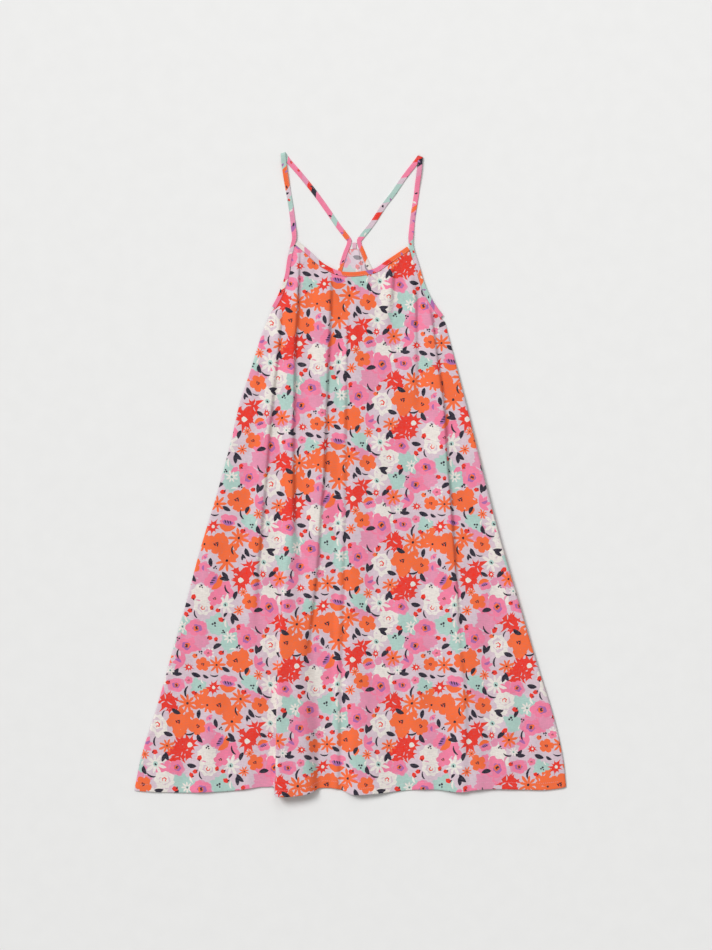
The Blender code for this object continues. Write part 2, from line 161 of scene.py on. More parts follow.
# %% Outlines of the panels
LEFT_SIDE = [
    (210.0, -104.2), (237.0, -115.0), (292.0, -132.5), (331.0, -145.4), (380.0, -156.7), (456.0, -177.0),
    (529.0, -199.0), (601.0, -218.0), (677.0, -239.3), (739.0, -256.8), (801.0, -276.3), (846.5, -285.9),
]
RIGHT_SIDE = [
    (222.0, 124.4), (268.0, 136.2), (343.0, 155.2), (434.0, 177.4), (515.0, 198.5),
    (594.0, 221.8), (689.0, 250.2), (754.0, 270.4), (811.0, 282.6), (841.5, 285.7),
]
FRONT_HEM = [
    (-285.9, 846.5), (-214.0, 848.5), (-146.0, 845.0), (-112.0, 841.0), (-100.0, 842.0), (-92.0, 850.5),
    (-80.0, 852.4), (-64.0, 850.0), (-41.0, 842.5), (-20.0, 843.0), (7.0, 850.5), (37.0, 849.5),
    (68.0, 846.0),
    (108.0, 844.0), (145.0, 847.5), (169.0, 844.5), (230.0, 844.5), (259.0, 845.0), (285.7, 841.5),
]
BACK_HEM = [
    (-285.4, 845.8), (-214.0, 845.5), (-146.0, 842.0), (-100.0, 836.5),
    (-20.0, 839.0), (108.0, 840.5), (230.0, 841.0), (285.2, 840.8),
]
NECK_LINE = [
    (-70.9, 121.0), (-56.5, 133.5), (-33.0, 153.5), (-16.0, 161.0), (0.0, 163.0),
    (20.0, 161.2), (31.0, 159.0), (51.0, 146.2), (77.1, 128.7),
]
FRONT_ARMHOLE = {
    "left": [(-74.3, 117.0), (-76.4, 125.0), (-80.6, 144.0), (-83.2, 162.0), (-87.8, 178.0), (-94.2, 194.0),
             (-100.9, 206.6)],
    "right": [(80.4, 123.0), (82.6, 133.0), (88.0, 150.0), (99.0, 184.0), (113.4, 209.0), (121.0, 218.6)],
}
BACK_ARMHOLE = {
    "left": [(-0.8, 118.5), (-1.7, 122.5), (-6.2, 134.0), (-11.4, 150.0), (-18.6, 176.0), (-28.4, 193.0),
             (-45.0, 204.5), (-66.0, 209.5), (-100.4, 210.4)],
    "right": [(11.6, 118.5), (12.3, 122.5), (17.0, 134.0), (21.6, 145.5), (26.9, 157.0), (33.4, 176.0),
              (43.5, 194.0), (61.0, 209.0), (82.0, 217.5), (120.4, 221.6)],
}
STRAP_FRONT_RUN = {
    "left": [(-74.1, 116.7), (-75.3, 99.0), (-79.5, 67.0), (-82.1, 52.0), (-85.6, 31.0), (-88.0, 14.0)],
    "right": [(80.3, 122.7), (81.6, 101.0), (83.2, 86.0), (87.5, 58.0), (89.3, 42.0), (91.3, 27.0),
              (92.5, 14.0)],
}
STRAP_FOLD = {"left": (-88.6, 2.9), "right": (92.9, 6.4)}
STRAP_BACK_RUN = {
    "left": [(-81.4, 13.0), (-63.1, 34.0), (-41.3, 62.0), (-28.6, 80.0), (-15.6, 99.0), (-4.2, 113.8),
             (-0.9, 118.2)],
    "right": [(86.2, 15.5), (71.4, 34.5), (55.3, 58.0), (48.1, 67.0), (26.5, 99.0), (14.6, 114.0),
              (11.7, 118.2)],
}
TAB_TOP = 120.6

# %% [markdown]
# Cloth that was gathered into a neckline falls in long folds, and laid flat each fold tips over to one side:
# a gentle slope up, a crest, and a steep side that throws the dark line one sees. A simulation would give
# folds of its own choosing, so each fold is given as a few rows down its length, and a cosine
# section with a sideways lean makes the slope and the steep side. Softer creases come from a second table.

# %% Folds of the front
# Rows: down, left foot, crest, right foot, height.
FRONT_FOLDS = {
    "raised pleat on the left": [
        (140, -88, -72, -64, 2.5), (180, -92, -75, -66, 5.8), (220, -95, -78, -68, 6.8),
        (260, -97, -80, -70, 6.0),
        (304, -98, -81, -71, 6.4), (366, -98, -82, -71, 6.0), (440, -98, -82, -71, 6.8),
        (504, -97, -81, -68, 6.2),
        (560, -96, -80, -58, 6.8), (627, -95, -82, -52, 8.8), (696, -99, -85, -47, 11.2),
        (764, -99, -86, -45, 13.2), (853, -103, -85, -43, 15.4),
    ],
    "shoulder of the pleat": [
        (590, -88, -70, -54, 0.0), (640, -89, -68, -50, 4.5), (696, -91, -67, -44, 8.0),
        (764, -93, -65, -40, 10.0),
        (853, -97, -63, -37, 12.0),
    ],
    "fold left of the pleat": [
        (195, -108, -94, -85, 0.0), (220, -112, -97, -87, 3.2), (253, -116, -100, -90, 4.8),
        (305, -124, -106, -96, 4.2), (376, -132, -114, -103, 5.4), (431, -136, -118, -107, 4.6),
        (484, -141, -123, -112, 5.0), (560, -146, -129, -118, 4.0), (607, -148, -131, -119, 2.2),
        (645, -150, -133, -120, 0.0),
    ],
    "left centre fold": [
        (150, -52, -31, -21, 2.6), (180, -54, -32, -21, 4.6), (246, -59, -35, -24, 5.6),
        (329, -62, -38, -27, 5.2),
        (376, -63, -40, -29, 5.8), (437, -65, -43, -32, 6.4), (484, -67, -46, -36, 5.4),
        (545, -72, -50, -39, 4.6),
        (600, -78, -56, -45, 4.4), (634, -82, -60, -49, 4.2), (690, -88, -66, -55, 0.0),
    ],
    "pressed centre crease": [
        (216, -12, -4, 1, 0.0), (240, -14, -6, -1, 1.8), (305, -16, -8, -2, 2.2), (349, -17, -9, -2.5, 2.7),
        (430, -18, -10, -3, 2.2), (520, -20, -12, -5, 2.5), (592, -22, -14, -6.5, 2.4),
        (690, -25, -17, -9.5, 2.6),
        (853, -28, -19, -12, 2.2),
    ],
    "soft roll right of the crease": [
        (320, -4, 6, 22, 0.0), (400, -5, 6, 28, 1.1), (565, -9, 4, 34, 1.5), (690, -12, 6, 46, 2.6),
        (790, -13, 12, 60, 5.0), (853, -14, 18, 72, 8.0),
    ],
    "right neck fold": [
        (135, 39, 51, 60, 2.2), (170, 37, 51, 61, 4.6), (197, 35, 49, 60, 4.2), (227, 33, 47, 58, 2.0),
        (262, 33, 46, 57, 0.0),
    ],
    "right chest fold": [
        (160, 66, 80, 90, 0.0), (190, 66, 81, 91, 3.6), (238, 64, 81, 92, 4.0), (292, 62, 82, 94, 3.4),
        (345, 60, 82, 96, 0.0),
    ],
    "long right fold": [
        (165, 90, 98, 107, 0.0), (196, 90, 101, 110, 1.7), (221, 87, 102, 112, 4.6),
        (264, 84, 106, 117, 6.8), (346, 87, 117, 128, 6.6), (410, 88, 120, 131, 7.4),
        (456, 91, 124, 135, 7.4),
        (520, 94, 129, 140, 6.8), (594, 98, 135, 146, 5.0), (650, 100, 138, 150, 3.2),
        (703, 104, 144, 156, 3.6),
        (853, 108, 145, 160, 2.8),
    ],
}
LEAN = 0.75  # how far a crest tips over its steep side, for each unit of height

# %% Softer creases
# Rows: start down, start across, end down, end across, half width, height.
FRONT_CREASES = [
    (170, -44, 330, -48, 8, 1.0),
    (166, 6, 330, 4, 6, 0.9),
    (164, 22, 290, 24, 6, 0.9),
    (210, 66, 420, 62, 9, 0.9),
    (210, 108, 330, 132, 6, 0.9),
    (255, -118, 420, -144, 8, 1.4),
    (330, 34, 560, 46, 13, 1.1),
    (380, 150, 640, 182, 14, 1.2),
    (420, -160, 640, -205, 15, 1.2),
    (480, 66, 700, 78, 14, 1.3),
    (560, 148, 853, 166, 25, 4.4),
    (600, -128, 853, -142, 18, 1.6),
    (620, 84, 853, 100, 14, 2.2),
    (650, 196, 853, 212, 16, 2.0),
    (690, -176, 853, -196, 18, 2.2),
    (740, 236, 853, 252, 12, 1.2),
    (740, -240, 853, -254, 12, 1.1),
]
BACK_CREASES = [
    (225, -60, 420, -84, 12, 0.7),
    (215, 10, 400, 4, 9, 0.7),
    (235, 70, 470, 96, 12, 0.7),
    (330, -120, 560, -160, 14, 0.6),
    (380, 40, 620, 56, 12, 0.8),
    (420, -30, 700, -48, 14, 0.8),
    (480, 140, 720, 186, 15, 0.7),
    (560, -110, 840, -140, 16, 0.8),
    (640, 90, 840, 110, 15, 0.8),
    (680, -210, 840, -236, 14, 0.7),
    (690, 216, 840, 240, 14, 0.7),
    (700, 10, 840, 6, 16, 0.8),
]
# Rows of the tuck, as for a fold.
BACK_TUCK = [
    (118, 3.0, 9.0, 10.8, 0.4), (130, 4.0, 10.2, 12.0, 1.0), (142, 5.0, 11.6, 13.4, 1.1),
    (156, 7.0, 13.8, 15.6, 1.1),
    (190, 12.0, 19.0, 23.0, 0.5), (215, 16.0, 23.0, 28.0, 0.0),
]


print("the front has", len(FRONT_FOLDS), "folds and", len(FRONT_CREASES), "creases")


# %% Height of folds and creases
def fold_columns(rows, down):
    """A fold's left foot, crest, right foot and height, read at places down its length."""
    rows = np.array(rows, float)
    return [curve_through(rows[:, [0, k]])(down) for k in (1, 2, 3, 4)]


def ridge_height(across, down, rows):
    """Height of one fold over its two feet, and which way its steep side faces."""
    left, crest, right, high = fold_columns(rows, down)
    reach = np.where(across < crest, crest - left, right - crest)
    rise = 0.5 + 0.5 * np.cos(np.pi * np.clip(np.abs(across - crest) / reach, 0.0, 1.0))
    steep_side = np.clip(((crest - left) - (right - crest)) / 6.0, -1.0, 1.0)
    height = np.maximum(high, 0.0) * rise
    return height, steep_side * height


def fold_form(across, down, folds):
    """Height of all the folds together, and how far the cloth leans sideways there."""
    total = np.zeros_like(across)
    lean = np.zeros_like(across)
    for rows in folds:
        height, leaning = ridge_height(across, down, rows)
        total += height**3
        lean += LEAN * leaning
    return np.cbrt(total), lean


HEM_REACHED = 840.0  # a crease that ends below this is still at its full height in the hem


def crease_form(across, down, creases):
    """Height of soft creases that swell and fade along their length."""
    total = np.zeros_like(across)
    for from_down, from_across, to_down, to_across, half, high in creases:
        share = (down - from_down) / (to_down - from_down)
        middle = from_across + (to_across - from_across) * share
        last_share = 0.5 if to_down > HEM_REACHED else 1.0
        fade = np.sin(np.pi * np.clip(share, 0.0, last_share)) ** 0.8
        total += high * fade * np.exp(-(((across - middle) / half) ** 2))
    return total


# Rows: down, how high the right side seam curls off the surface, front and back together.
RIGHT_CURL = [(225, 0.0), (290, 2.2), (380, 4.2), (470, 5.2), (580, 4.8), (680, 3.0), (760, 1.6), (846, 0.8)]
CURL_REACH = 30.0


def curled_up(from_right, down):
    """Height of the curl at a distance from the right side seam."""
    return curve_through(RIGHT_CURL)(down) * (1.0 - smooth_step(from_right / CURL_REACH)) ** 1.4


def crumple(across, down):
    """Slight unevenness of washed crinkle cloth, in millimetres."""
    return (
        0.2 * np.sin(across / 5.3 + 1.7 * np.sin(down / 31.0))
        + 0.26 * np.sin(across / 9.1 - down / 23.0 + 1.3 * np.sin(across / 37.0))
        + 0.13 * np.sin(down / 7.9 + 2.0 * np.sin(across / 17.0))
    )


# %% [markdown]
# The cloth is printed with a dense meadow of painted flowers on a pale lilac ground.
# A printer's repeat is one tile that is stepped across the cloth; here the next column drops by half a tile.
# The tile could be an image, but then its edges blur up close, so each flower is drawn as an outline
# and later cut into the mesh itself. Kinds, places, sizes and turns are charted for this dress.

# %% Inks of the print
INKS = {
    "ground": (211, 190, 201),
    "orange": (241, 102, 43),
    "pink": (237, 122, 156),
    "rosy": (223, 140, 170),
    "purple": (166, 98, 164),
    "red": (229, 40, 14),
    "cream": (229, 222, 215),
    "mint": (169, 201, 192),
    "navy": (14, 8, 34),
}
TILE_ACROSS = 156.0
TILE_DOWN = 213.0
HALF_DROP = 108.0

# %% Petal profiles
# Each profile is one petal: (share of the petal's angle, share of its reach).
POINTED_PETAL = [(0.0, 0.36), (0.24, 0.74), (0.4, 0.97), (0.56, 1.0), (0.76, 0.76)]
ROUND_PETAL = [(0.0, 0.7), (0.14, 0.88), (0.36, 0.99), (0.64, 1.0), (0.86, 0.9)]
JAGGED_PETAL = [(0.0, 0.5), (0.34, 0.72), (0.5, 1.0), (0.6, 0.7)]
RAGGED_PETAL = [(0.0, 0.82), (0.34, 1.0), (0.62, 0.93)]


def flower_outline(rng, size, petals, profile, uneven, flat=1.0):
    """A closed outline of petals round a middle; uneven says how much their reach varies."""
    points = []
    for petal in range(petals):
        reach = size * (1.0 + uneven * rng.uniform(-1.0, 1.0))
        for share, level in profile:
            angle = 2 * math.pi * (petal + share + 0.06 * rng.uniform(-1, 1)) / petals
            far = reach * level * (1.0 + 0.03 * rng.uniform(-1, 1))
            points.append((far * math.cos(angle), far * math.sin(angle) * flat))
    return np.array(points)


def leaf_outline(length, width, bend=0.15):
    """A pointed leaf along X with a bent middle line."""
    along = np.array([-1.0, -0.62, -0.1, 0.45, 0.8, 1.0])
    half = np.array([0.0, 0.72, 1.0, 0.82, 0.42, 0.0]) * width / 2
    spine = bend * length * (1 - along**2)
    upper = np.column_stack([along * length / 2, spine + half])
    lower = np.column_stack([along * length / 2, spine - half])
    return np.vstack([lower, upper[-2:0:-1]])


def brush_stroke(line, width):
    """A band along a line of points, thin at both ends."""
    line = np.array(line, float)
    taper = np.sin(np.linspace(0.3, math.pi - 0.3, len(line)))[:, None]
    beside_it = square_to(headings(line)) * taper * width / 2
    return np.vstack([line + beside_it, (line - beside_it)[::-1]])


def dab(rng, size, corners=6):
    return flower_outline(rng, size, corners, [(0.0, 1.0)], 0.18)


def moved(shape, across, down, turn=0.0):
    angle = math.radians(turn)
    swing = np.array([[math.cos(angle), -math.sin(angle)], [math.sin(angle), math.cos(angle)]])
    return shape @ swing.T + (across, down)


def toward(turn, far):
    """A step of a length in a direction."""
    angle = math.radians(turn)
    return far * math.cos(angle), far * math.sin(angle)


# %% Flower kinds
# Each kind gives its painted shapes as (ink, outline), in the order they are printed.
def daisy(rng, ink, size):
    flower = (ink, flower_outline(rng, size, 8 + (size > 14), POINTED_PETAL, 0.13))
    if ink != "cream":
        return [flower, ("navy", dab(rng, size * 0.13))]
    seed = moved(leaf_outline(size * 0.3, size * 0.17), 0.4, 0.2, 40)
    return [flower, ("mint", dab(rng, size * 0.27)), ("navy", seed)]


def blossom(rng, ink, size):
    other = {"orange": "red", "pink": "orange", "cream": "mint"}.get(ink, "cream")
    strokes = [
        ("navy", moved(leaf_outline(size * 0.3, size * 0.13, 0.2), *toward(turn, far * size), turn + 70))
        for turn, far in ((20, 0.16), (150, 0.2), (265, 0.14))
    ]
    return [
        (ink, flower_outline(rng, size, 6 if size > 14 else 5, ROUND_PETAL, 0.1, 0.92)),
        (other, brush_stroke([(-3, -1), (-1, 1.4), (1.4, 1.6), (2.6, -0.6)], size * 0.1)),
        *strokes,
    ]


def poppy(rng, ink, size):
    heart = "orange" if ink == "pink" else "pink"
    stroke = leaf_outline(size * 0.42, size * 0.12, 0.1)
    behind = flower_outline(rng, size * 1.08, 6, RAGGED_PETAL, 0.14, 0.86)
    return [
        ("rosy", moved(behind, size * 0.12, size * 0.1)),
        (ink, flower_outline(rng, size, 5, ROUND_PETAL, 0.12, 0.86)),
        ("purple", moved(flower_outline(rng, size * 0.5, 5, RAGGED_PETAL, 0.12, 0.8), size * 0.12, 0)),
        (heart, moved(flower_outline(rng, size * 0.3, 4, RAGGED_PETAL, 0.16), size * 0.02, size * 0.05)),
        *[("navy", moved(stroke, size * 0.08, 0, turn)) for turn in (35, 80, 120)],
    ]


def half_poppy(rng, ink, size):
    """A poppy seen from the side: two petals of one ink, a cup of another."""
    stroke = leaf_outline(size * 0.4, size * 0.12, 0.0)
    return [
        (ink, moved(flower_outline(rng, size * 0.9, 4, ROUND_PETAL, 0.1, 0.7), 0, -size * 0.18)),
        ("orange", moved(leaf_outline(size * 1.7, size * 0.66, 0.18), 0, size * 0.3)),
        ("purple", moved(leaf_outline(size * 1.15, size * 0.5, 0.1), 0, -size * 0.02)),
        *[("navy", moved(stroke, step * size, -size * 0.02, 60)) for step in (-0.26, 0.0, 0.24)],
    ]


def splash(rng, ink, size):
    return [
        (ink, flower_outline(rng, size, 9, JAGGED_PETAL, 0.24)),
        ("cream", moved(dab(rng, size * 0.24, 7), size * 0.05, 0)),
    ]


def torn_splash(rng, ink, size):
    """A jagged bloom with bare slits between its petals."""
    slit = leaf_outline(size * 0.5, size * 0.1, 0.08)
    return [
        (ink, flower_outline(rng, size, 8, JAGGED_PETAL, 0.26)),
        *[
            ("ground", moved(slit, *toward(turn + rng.uniform(-15, 15), 0.36 * size), turn))
            for turn in (25, 140, 255)
        ],
    ]


def rose(rng, ink, size):
    curl = [(-2.2, 1.8), (-2.5, -1.4), (0.2, -2.6), (2.4, -1.0), (1.0, 0.8), (2.2, 2.4)]
    return [
        (ink, flower_outline(rng, size, 7, RAGGED_PETAL, 0.14, 0.86)),
        ("ground", flower_outline(rng, size * 0.6, 6, RAGGED_PETAL, 0.16, 0.8)),
        (ink, flower_outline(rng, size * 0.44, 5, RAGGED_PETAL, 0.14)),
        ("red", brush_stroke(np.array(curl) * size / 13, size * 0.13)),
    ]


def wash(rng, ink, size):
    """A ragged patch of one thin ink, with a paler streak."""
    pale = "cream" if ink == "mint" else "rosy"
    return [
        (ink, flower_outline(rng, size, 9, RAGGED_PETAL, 0.2, 0.82)),
        (pale, moved(leaf_outline(size * 0.6, size * 0.16), size * 0.5, -size * 0.45, 60)),
    ]


def clump(rng, ink, size):
    """A mass of one ink, as several wet brush marks make it, with flecks left bare."""
    profile = JAGGED_PETAL if ink in ("red", "cream") else RAGGED_PETAL
    bare = "cream" if ink == "mint" else "ground"
    parts = [(ink, dab(rng, size * 0.5, 7))]
    for turn in range(0, 360, 72):
        way, far = turn + rng.uniform(-24, 24), size * rng.uniform(0.36, 0.7)
        blot = flower_outline(rng, size * rng.uniform(0.36, 0.56), 6, profile, 0.22, 0.8)
        parts.append((ink, moved(blot, *toward(way, far), turn)))
    for turn in (30, 150, 250, 330):
        way = turn + rng.uniform(-25, 25)
        fleck = leaf_outline(size * rng.uniform(0.2, 0.32), size * 0.1, 0.1)
        parts.append((bare, moved(fleck, *toward(way, 0.52 * size), turn + 60)))
    return parts


def petals(rng, ink, size):
    """Loose petals fanned from one point."""

    def petal(turn):
        shape = leaf_outline(size * rng.uniform(1.0, 1.25), size * 0.5, 0.05)
        return ink, moved(shape + (size * 0.45, 0), 0, 0, turn)

    heart = ("purple", moved(leaf_outline(size * 0.7, size * 0.3), size * 0.5, 0, 8))
    return [petal(turn) for turn in (-58, -18, 24, 66)] + [heart]


# %% Leaves and small marks
def single_leaf(rng, ink, size):
    return [(ink, leaf_outline(size * 1.2, size * 0.56, rng.uniform(0.02, 0.12)))]


def leaf_pair(rng, ink, size):
    return [
        (ink, moved(leaf_outline(size * 1.25, size * 0.54, 0.08), 0, -size * 0.27, -12)),
        (ink, moved(leaf_outline(size * 1.05, size * 0.5, -0.06), size * 0.14, size * 0.27, 22)),
    ]


def bent_stem(rng, ink, size):
    line = [(-0.5, 0.0), (-0.22, 0.1), (0.08, 0.1), (0.34, 0.0), (0.5, -0.14)]
    return [(ink, brush_stroke(np.array(line) * size * 1.15, size * 0.24))]


def dots(rng, ink, size):
    return [
        (ink, moved(dab(rng, size * share * 0.9, 5), across * size, down * size))
        for across, down, share in ((-0.3, 0.1, 0.3), (0.12, -0.24, 0.34), (0.34, 0.3, 0.24))
    ]


def bud(rng, ink, size):
    return [
        (ink, flower_outline(rng, size, 5, [(0.0, 0.86), (0.5, 1.0)], 0.14, 0.8)),
        ("navy", moved(leaf_outline(size * 0.9, size * 0.4, 0.2), size * 0.45, -size * 0.35, -60)),
    ]


KINDS = {
    "daisy": daisy, "blossom": blossom, "poppy": poppy, "half poppy": half_poppy, "splash": splash,
    "torn splash": torn_splash, "rose": rose, "wash": wash, "petals": petals, "leaf": single_leaf,
    "leaf pair": leaf_pair, "stem": bent_stem, "dots": dots, "bud": bud, "clump": clump,
}

# %% Chart of one tile
# Each row: a kind, its ink and where it is printed, as (across, down, size, turn), in printing order.
CHART = [
    ("clump", "pink", [
        (134, 38, 21, 0), (70, 104, 21, 50), (18, 76, 18, 120), (42, 136, 17, 200), (92, 208, 15, 20),
    ]),
    ("clump", "rosy", [(150, 164, 18, 0), (66, 144, 16, 80), (92, 66, 16, 160), (58, 4, 16, 240)]),
    ("clump", "orange", [(22, 24, 21, 30), (118, 146, 21, 100), (46, 174, 18, 0), (146, 116, 15, 220)]),
    ("clump", "red", [(50, 56, 19, 0), (110, 184, 20, 90), (102, 122, 15, 200)]),
    ("clump", "cream", [(84, 26, 14, 60)]),
    ("wash", "mint", [
        (118, 16, 18, 10), (104, 40, 16, 70), (12, 124, 19, 30), (30, 146, 15, 120), (140, 98, 12, 0),
        (54, 200, 14, 45),
    ]),
    ("wash", "rosy", [(66, 120, 15, 20)]),
    ("wash", "cream", [(84, 84, 16, 60), (148, 190, 16, 150)]),
    ("wash", "rosy", [(146, 40, 13, 0)]),
    ("petals", "pink", [(122, 68, 15, 200), (62, 176, 14, 330), (150, 150, 12, 80)]),
    ("rose", "cream", [(92, 10, 15, 0), (82, 150, 17, 70), (150, 208, 14, 200)]),
    ("daisy", "cream", [
        (76, 40, 14, 10), (24, 96, 14, 35), (80, 202, 15, 0), (122, 20, 9, 20), (28, 140, 9, 0),
    ]),
    ("splash", "red", [(44, 64, 17, 0)]),
    ("torn splash", "red", [(56, 46, 15, 40), (96, 118, 17, 10)]),
    ("splash", "red", [(124, 176, 16, 70)]),
    ("torn splash", "red", [(112, 192, 12, 30)]),
    ("splash", "red", [(4, 206, 11, 0)]),
    ("blossom", "orange", [(10, 16, 17, 10)]),
    ("daisy", "orange", [(39, 8, 15, 0), (25, 38, 16, 25)]),
    ("blossom", "orange", [(64, 16, 13, 60)]),
    ("daisy", "orange", [(98, 62, 12, 10)]),
    ("blossom", "orange", [(56, 92, 12, 0), (148, 70, 11, 30)]),
    ("daisy", "orange", [(124, 122, 15, 15), (150, 124, 12, 0)]),
    ("blossom", "orange", [(110, 146, 16, 20), (136, 152, 13, 70), (36, 170, 16, 0)]),
    ("daisy", "orange", [(10, 176, 12, 20), (94, 178, 11, 0)]),
    ("poppy", "pink", [(140, 22, 15, 0), (128, 46, 15, 200)]),
    ("half poppy", "pink", [(8, 64, 15, 300)]),
    ("poppy", "pink", [(82, 98, 16, 60), (52, 140, 15, 120)]),
    ("half poppy", "pink", [(24, 200, 15, 10)]),
    ("poppy", "pink", [(112, 98, 12, 180), (108, 206, 12, 40)]),
    ("half poppy", "pink", [(66, 70, 10, 160)]),
    ("blossom", "pink", [(10, 88, 11, 0)]),
    ("leaf", "navy", [(52, 27, 12, 60)]),
    ("leaf pair", "navy", [(84, 26, 11, 10)]),
    ("leaf", "navy", [(108, 28, 10, 120), (4, 40, 11, 80)]),
    ("leaf pair", "navy", [(24, 60, 12, 200)]),
    ("leaf", "navy", [(66, 56, 10, 30), (88, 56, 12, 140)]),
    ("leaf pair", "navy", [(112, 82, 11, 330)]),
    ("leaf", "navy", [(138, 84, 12, 20), (38, 84, 11, 110), (68, 104, 12, 170)]),
    ("leaf pair", "navy", [(34, 114, 12, 60)]),
    ("leaf", "navy", [(108, 132, 12, 30), (138, 136, 11, 100), (12, 152, 12, 150)]),
    ("leaf pair", "navy", [(66, 156, 11, 280)]),
    ("leaf", "navy", [(96, 162, 12, 20), (138, 168, 12, 60), (22, 182, 11, 30), (50, 184, 10, 120)]),
    ("leaf pair", "navy", [(92, 192, 11, 80)]),
    ("leaf", "navy", [(128, 204, 12, 10), (66, 210, 11, 70)]),
    ("stem", "navy", [
        (32, 24, 11, 90), (74, 4, 12, 30), (140, 4, 10, 80), (116, 56, 12, 100), (26, 76, 12, 70),
        (96, 82, 11, 20), (124, 106, 14, 110), (66, 130, 12, 60), (124, 162, 12, 0), (78, 172, 12, 100),
        (42, 190, 12, 80), (6, 190, 10, 10),
    ]),
    ("dots", "navy", [
        (100, 34, 6, 0), (116, 36, 5, 60), (8, 122, 6, 20), (20, 132, 5, 100), (40, 152, 6, 0),
        (56, 204, 6, 40), (142, 100, 5, 0), (86, 72, 5, 0), (146, 54, 5, 30), (148, 180, 5, 0),
    ]),
    ("bud", "red", [
        (106, 22, 4.5, 0), (128, 4, 4, 60), (92, 50, 4.5, 140), (18, 116, 4.5, 30), (2, 140, 4, 200),
        (40, 126, 4, 90), (134, 108, 4, 20), (78, 130, 4.5, 300), (14, 104, 4, 0), (138, 194, 4.5, 120),
        (44, 212, 4, 0), (78, 186, 4, 200),
    ]),
    ("bud", "orange", [(74, 138, 4, 0)]),
    ("bud", "red", [(6, 100, 3.5, 90), (100, 94, 3.5, 0)]),
    ("daisy", "orange", [(42, 104, 8, 0)]),
    ("splash", "red", [(129, 74, 6.5, 0)]),
    ("daisy", "cream", [(1, 160, 8, 20)]),
    ("blossom", "pink", [(156, 55, 7, 0)]),
    ("petals", "pink", [(150, 139, 7, 40)]),
    ("leaf", "navy", [(151, 86, 8, 30)]),
    ("bud", "red", [(17, 160, 4.5, 0)]),
    ("leaf pair", "navy", [(46, 33, 7, 60)]),
    ("bud", "orange", [(138, 59, 4, 0)]),
    ("blossom", "pink", [(128, 91, 6, 0)]),
    ("daisy", "orange", [(65, 189, 7, 0)]),
    ("dots", "navy", [(10, 47, 5, 0)]),
    ("splash", "red", [(75, 56, 6, 30)]),
    ("daisy", "cream", [(104, 78, 6, 0)]),
    ("leaf", "navy", [(39, 204, 7, 45)]),
    ("bud", "red", [(10, 142, 3.5, 90)]),
    ("daisy", "orange", [(48, 80, 6, 10)]),
    ("bud", "red", [(133, 212, 4, 0)]),
    ("leaf", "navy", [(24, 110, 7, 130)]),
    ("stem", "navy", [(60, 31, 8, 20), (91, 135, 8, 120)]),
    ("bud", "red", [(57, 157, 3.5, 0)]),
]
PRINT_SEED = 11
FLOWER_SCALE = 0.93  # a last trim of the flowers and leaves
UNTRIMMED_SIZE = 7  # the smallest marks keep their size


# %% The tile and its repeats
def one_tile():
    """Every painted shape of one tile, in the order it is printed."""
    rng = random.Random(PRINT_SEED)
    shapes = []
    for kind, ink, places in CHART:
        for across, down, size, turn in places:
            scale = 1.0 if kind in ("clump", "wash") or size < UNTRIMMED_SIZE else FLOWER_SCALE
            for part_ink, outline in KINDS[kind](rng, ink, size):
                shapes.append((part_ink, moved(outline * scale, across, down, turn)))
    return shapes


def printed_over(low, high):
    """The tile's shapes repeated over a rectangle of cloth, in printing order."""
    repeats = []
    for column in range(math.floor(low[0] / TILE_ACROSS) - 1, math.ceil(high[0] / TILE_ACROSS) + 1):
        drop = (column % 2) * HALF_DROP
        first = math.floor((low[1] - drop) / TILE_DOWN) - 1
        for row in range(first, math.ceil((high[1] - drop) / TILE_DOWN) + 1):
            repeats.append((column * TILE_ACROSS, row * TILE_DOWN + drop))
    shapes = []
    for ink, outline in one_tile():
        for step in repeats:
            placed = outline + step
            if (placed.max(0) > low).all() and (placed.min(0) < high).all():
                shapes.append((ink, placed))
    return shapes


def print_laid_at(outline, shift):
    """The shapes that fall on a piece of cloth when the print starts at shift."""
    low, high = outline.min(0) + shift, outline.max(0) + shift
    return [(ink, shape - shift) for ink, shape in printed_over(low, high)]


print("one tile holds", len(one_tile()), "painted shapes")

# %% [markdown]
# To print flat cloth and then fold it, every point needs two addresses: where it is on the flat cloth, and
# where that lies on the folded dress. Walking along each row and adding up the length over hill and dale
# gives the flat address; reading the same table backwards finds the place again. The print then breaks at a
# fold as real cloth does, because the flank of a fold hides some of it.

# %% Edges of the two panels
NECK_EDGE = beside(smooth_path(NECK_LINE, 0.5), NECK_BINDING / 2 + 0.2)
EDGE_GAP = 0.2  # between a panel and the binding that holds it
JOIN_EASE = 5.0  # the armhole's curve hands over to the side seam this near it
SEAM_STEP = 7.0
SIDE_INSET = 0.5  # the back's side edges lie this far inside the front's


def joined_edge(armhole, side, reach):
    """Across as a function of down, from the top of an armhole to the hem."""
    edge = beside(smooth_path(armhole, 0.5), reach)
    rows = [(down, across) for across, down in edge[::8] if down < side[0][0] - JOIN_EASE]
    rows = [row for k, row in enumerate(rows) if k == 0 or row[0] > rows[k - 1][0] + 0.5]
    seam = curve_through(side)
    seam_down = np.arange(side[0][0] + 4.0, side[-1][0] + 4.0, SEAM_STEP)
    seam_rows = [(down, float(seam(down))) for down in seam_down]
    return curve_through(rows + seam_rows)


def neck_edge(across):
    return np.interp(across, NECK_EDGE[:, 0], NECK_EDGE[:, 1])


REACH = ARMHOLE_BINDING / 2 + EDGE_GAP
front_left = joined_edge(FRONT_ARMHOLE["left"], LEFT_SIDE, -REACH)
front_right = joined_edge(FRONT_ARMHOLE["right"], RIGHT_SIDE, REACH)
front_hem = curve_through(FRONT_HEM)
back_hem = curve_through(BACK_HEM)
print("front is", round(float(front_right(841.0) - front_left(841.0)), 1), "mm wide at the hem")

# %% [markdown]
# The front lies a little proud of the back, with air between them. At the side seams it rounds down to meet
# the back's edge, at the neck its gathers are caught flat by the binding, and the folds rise from there.

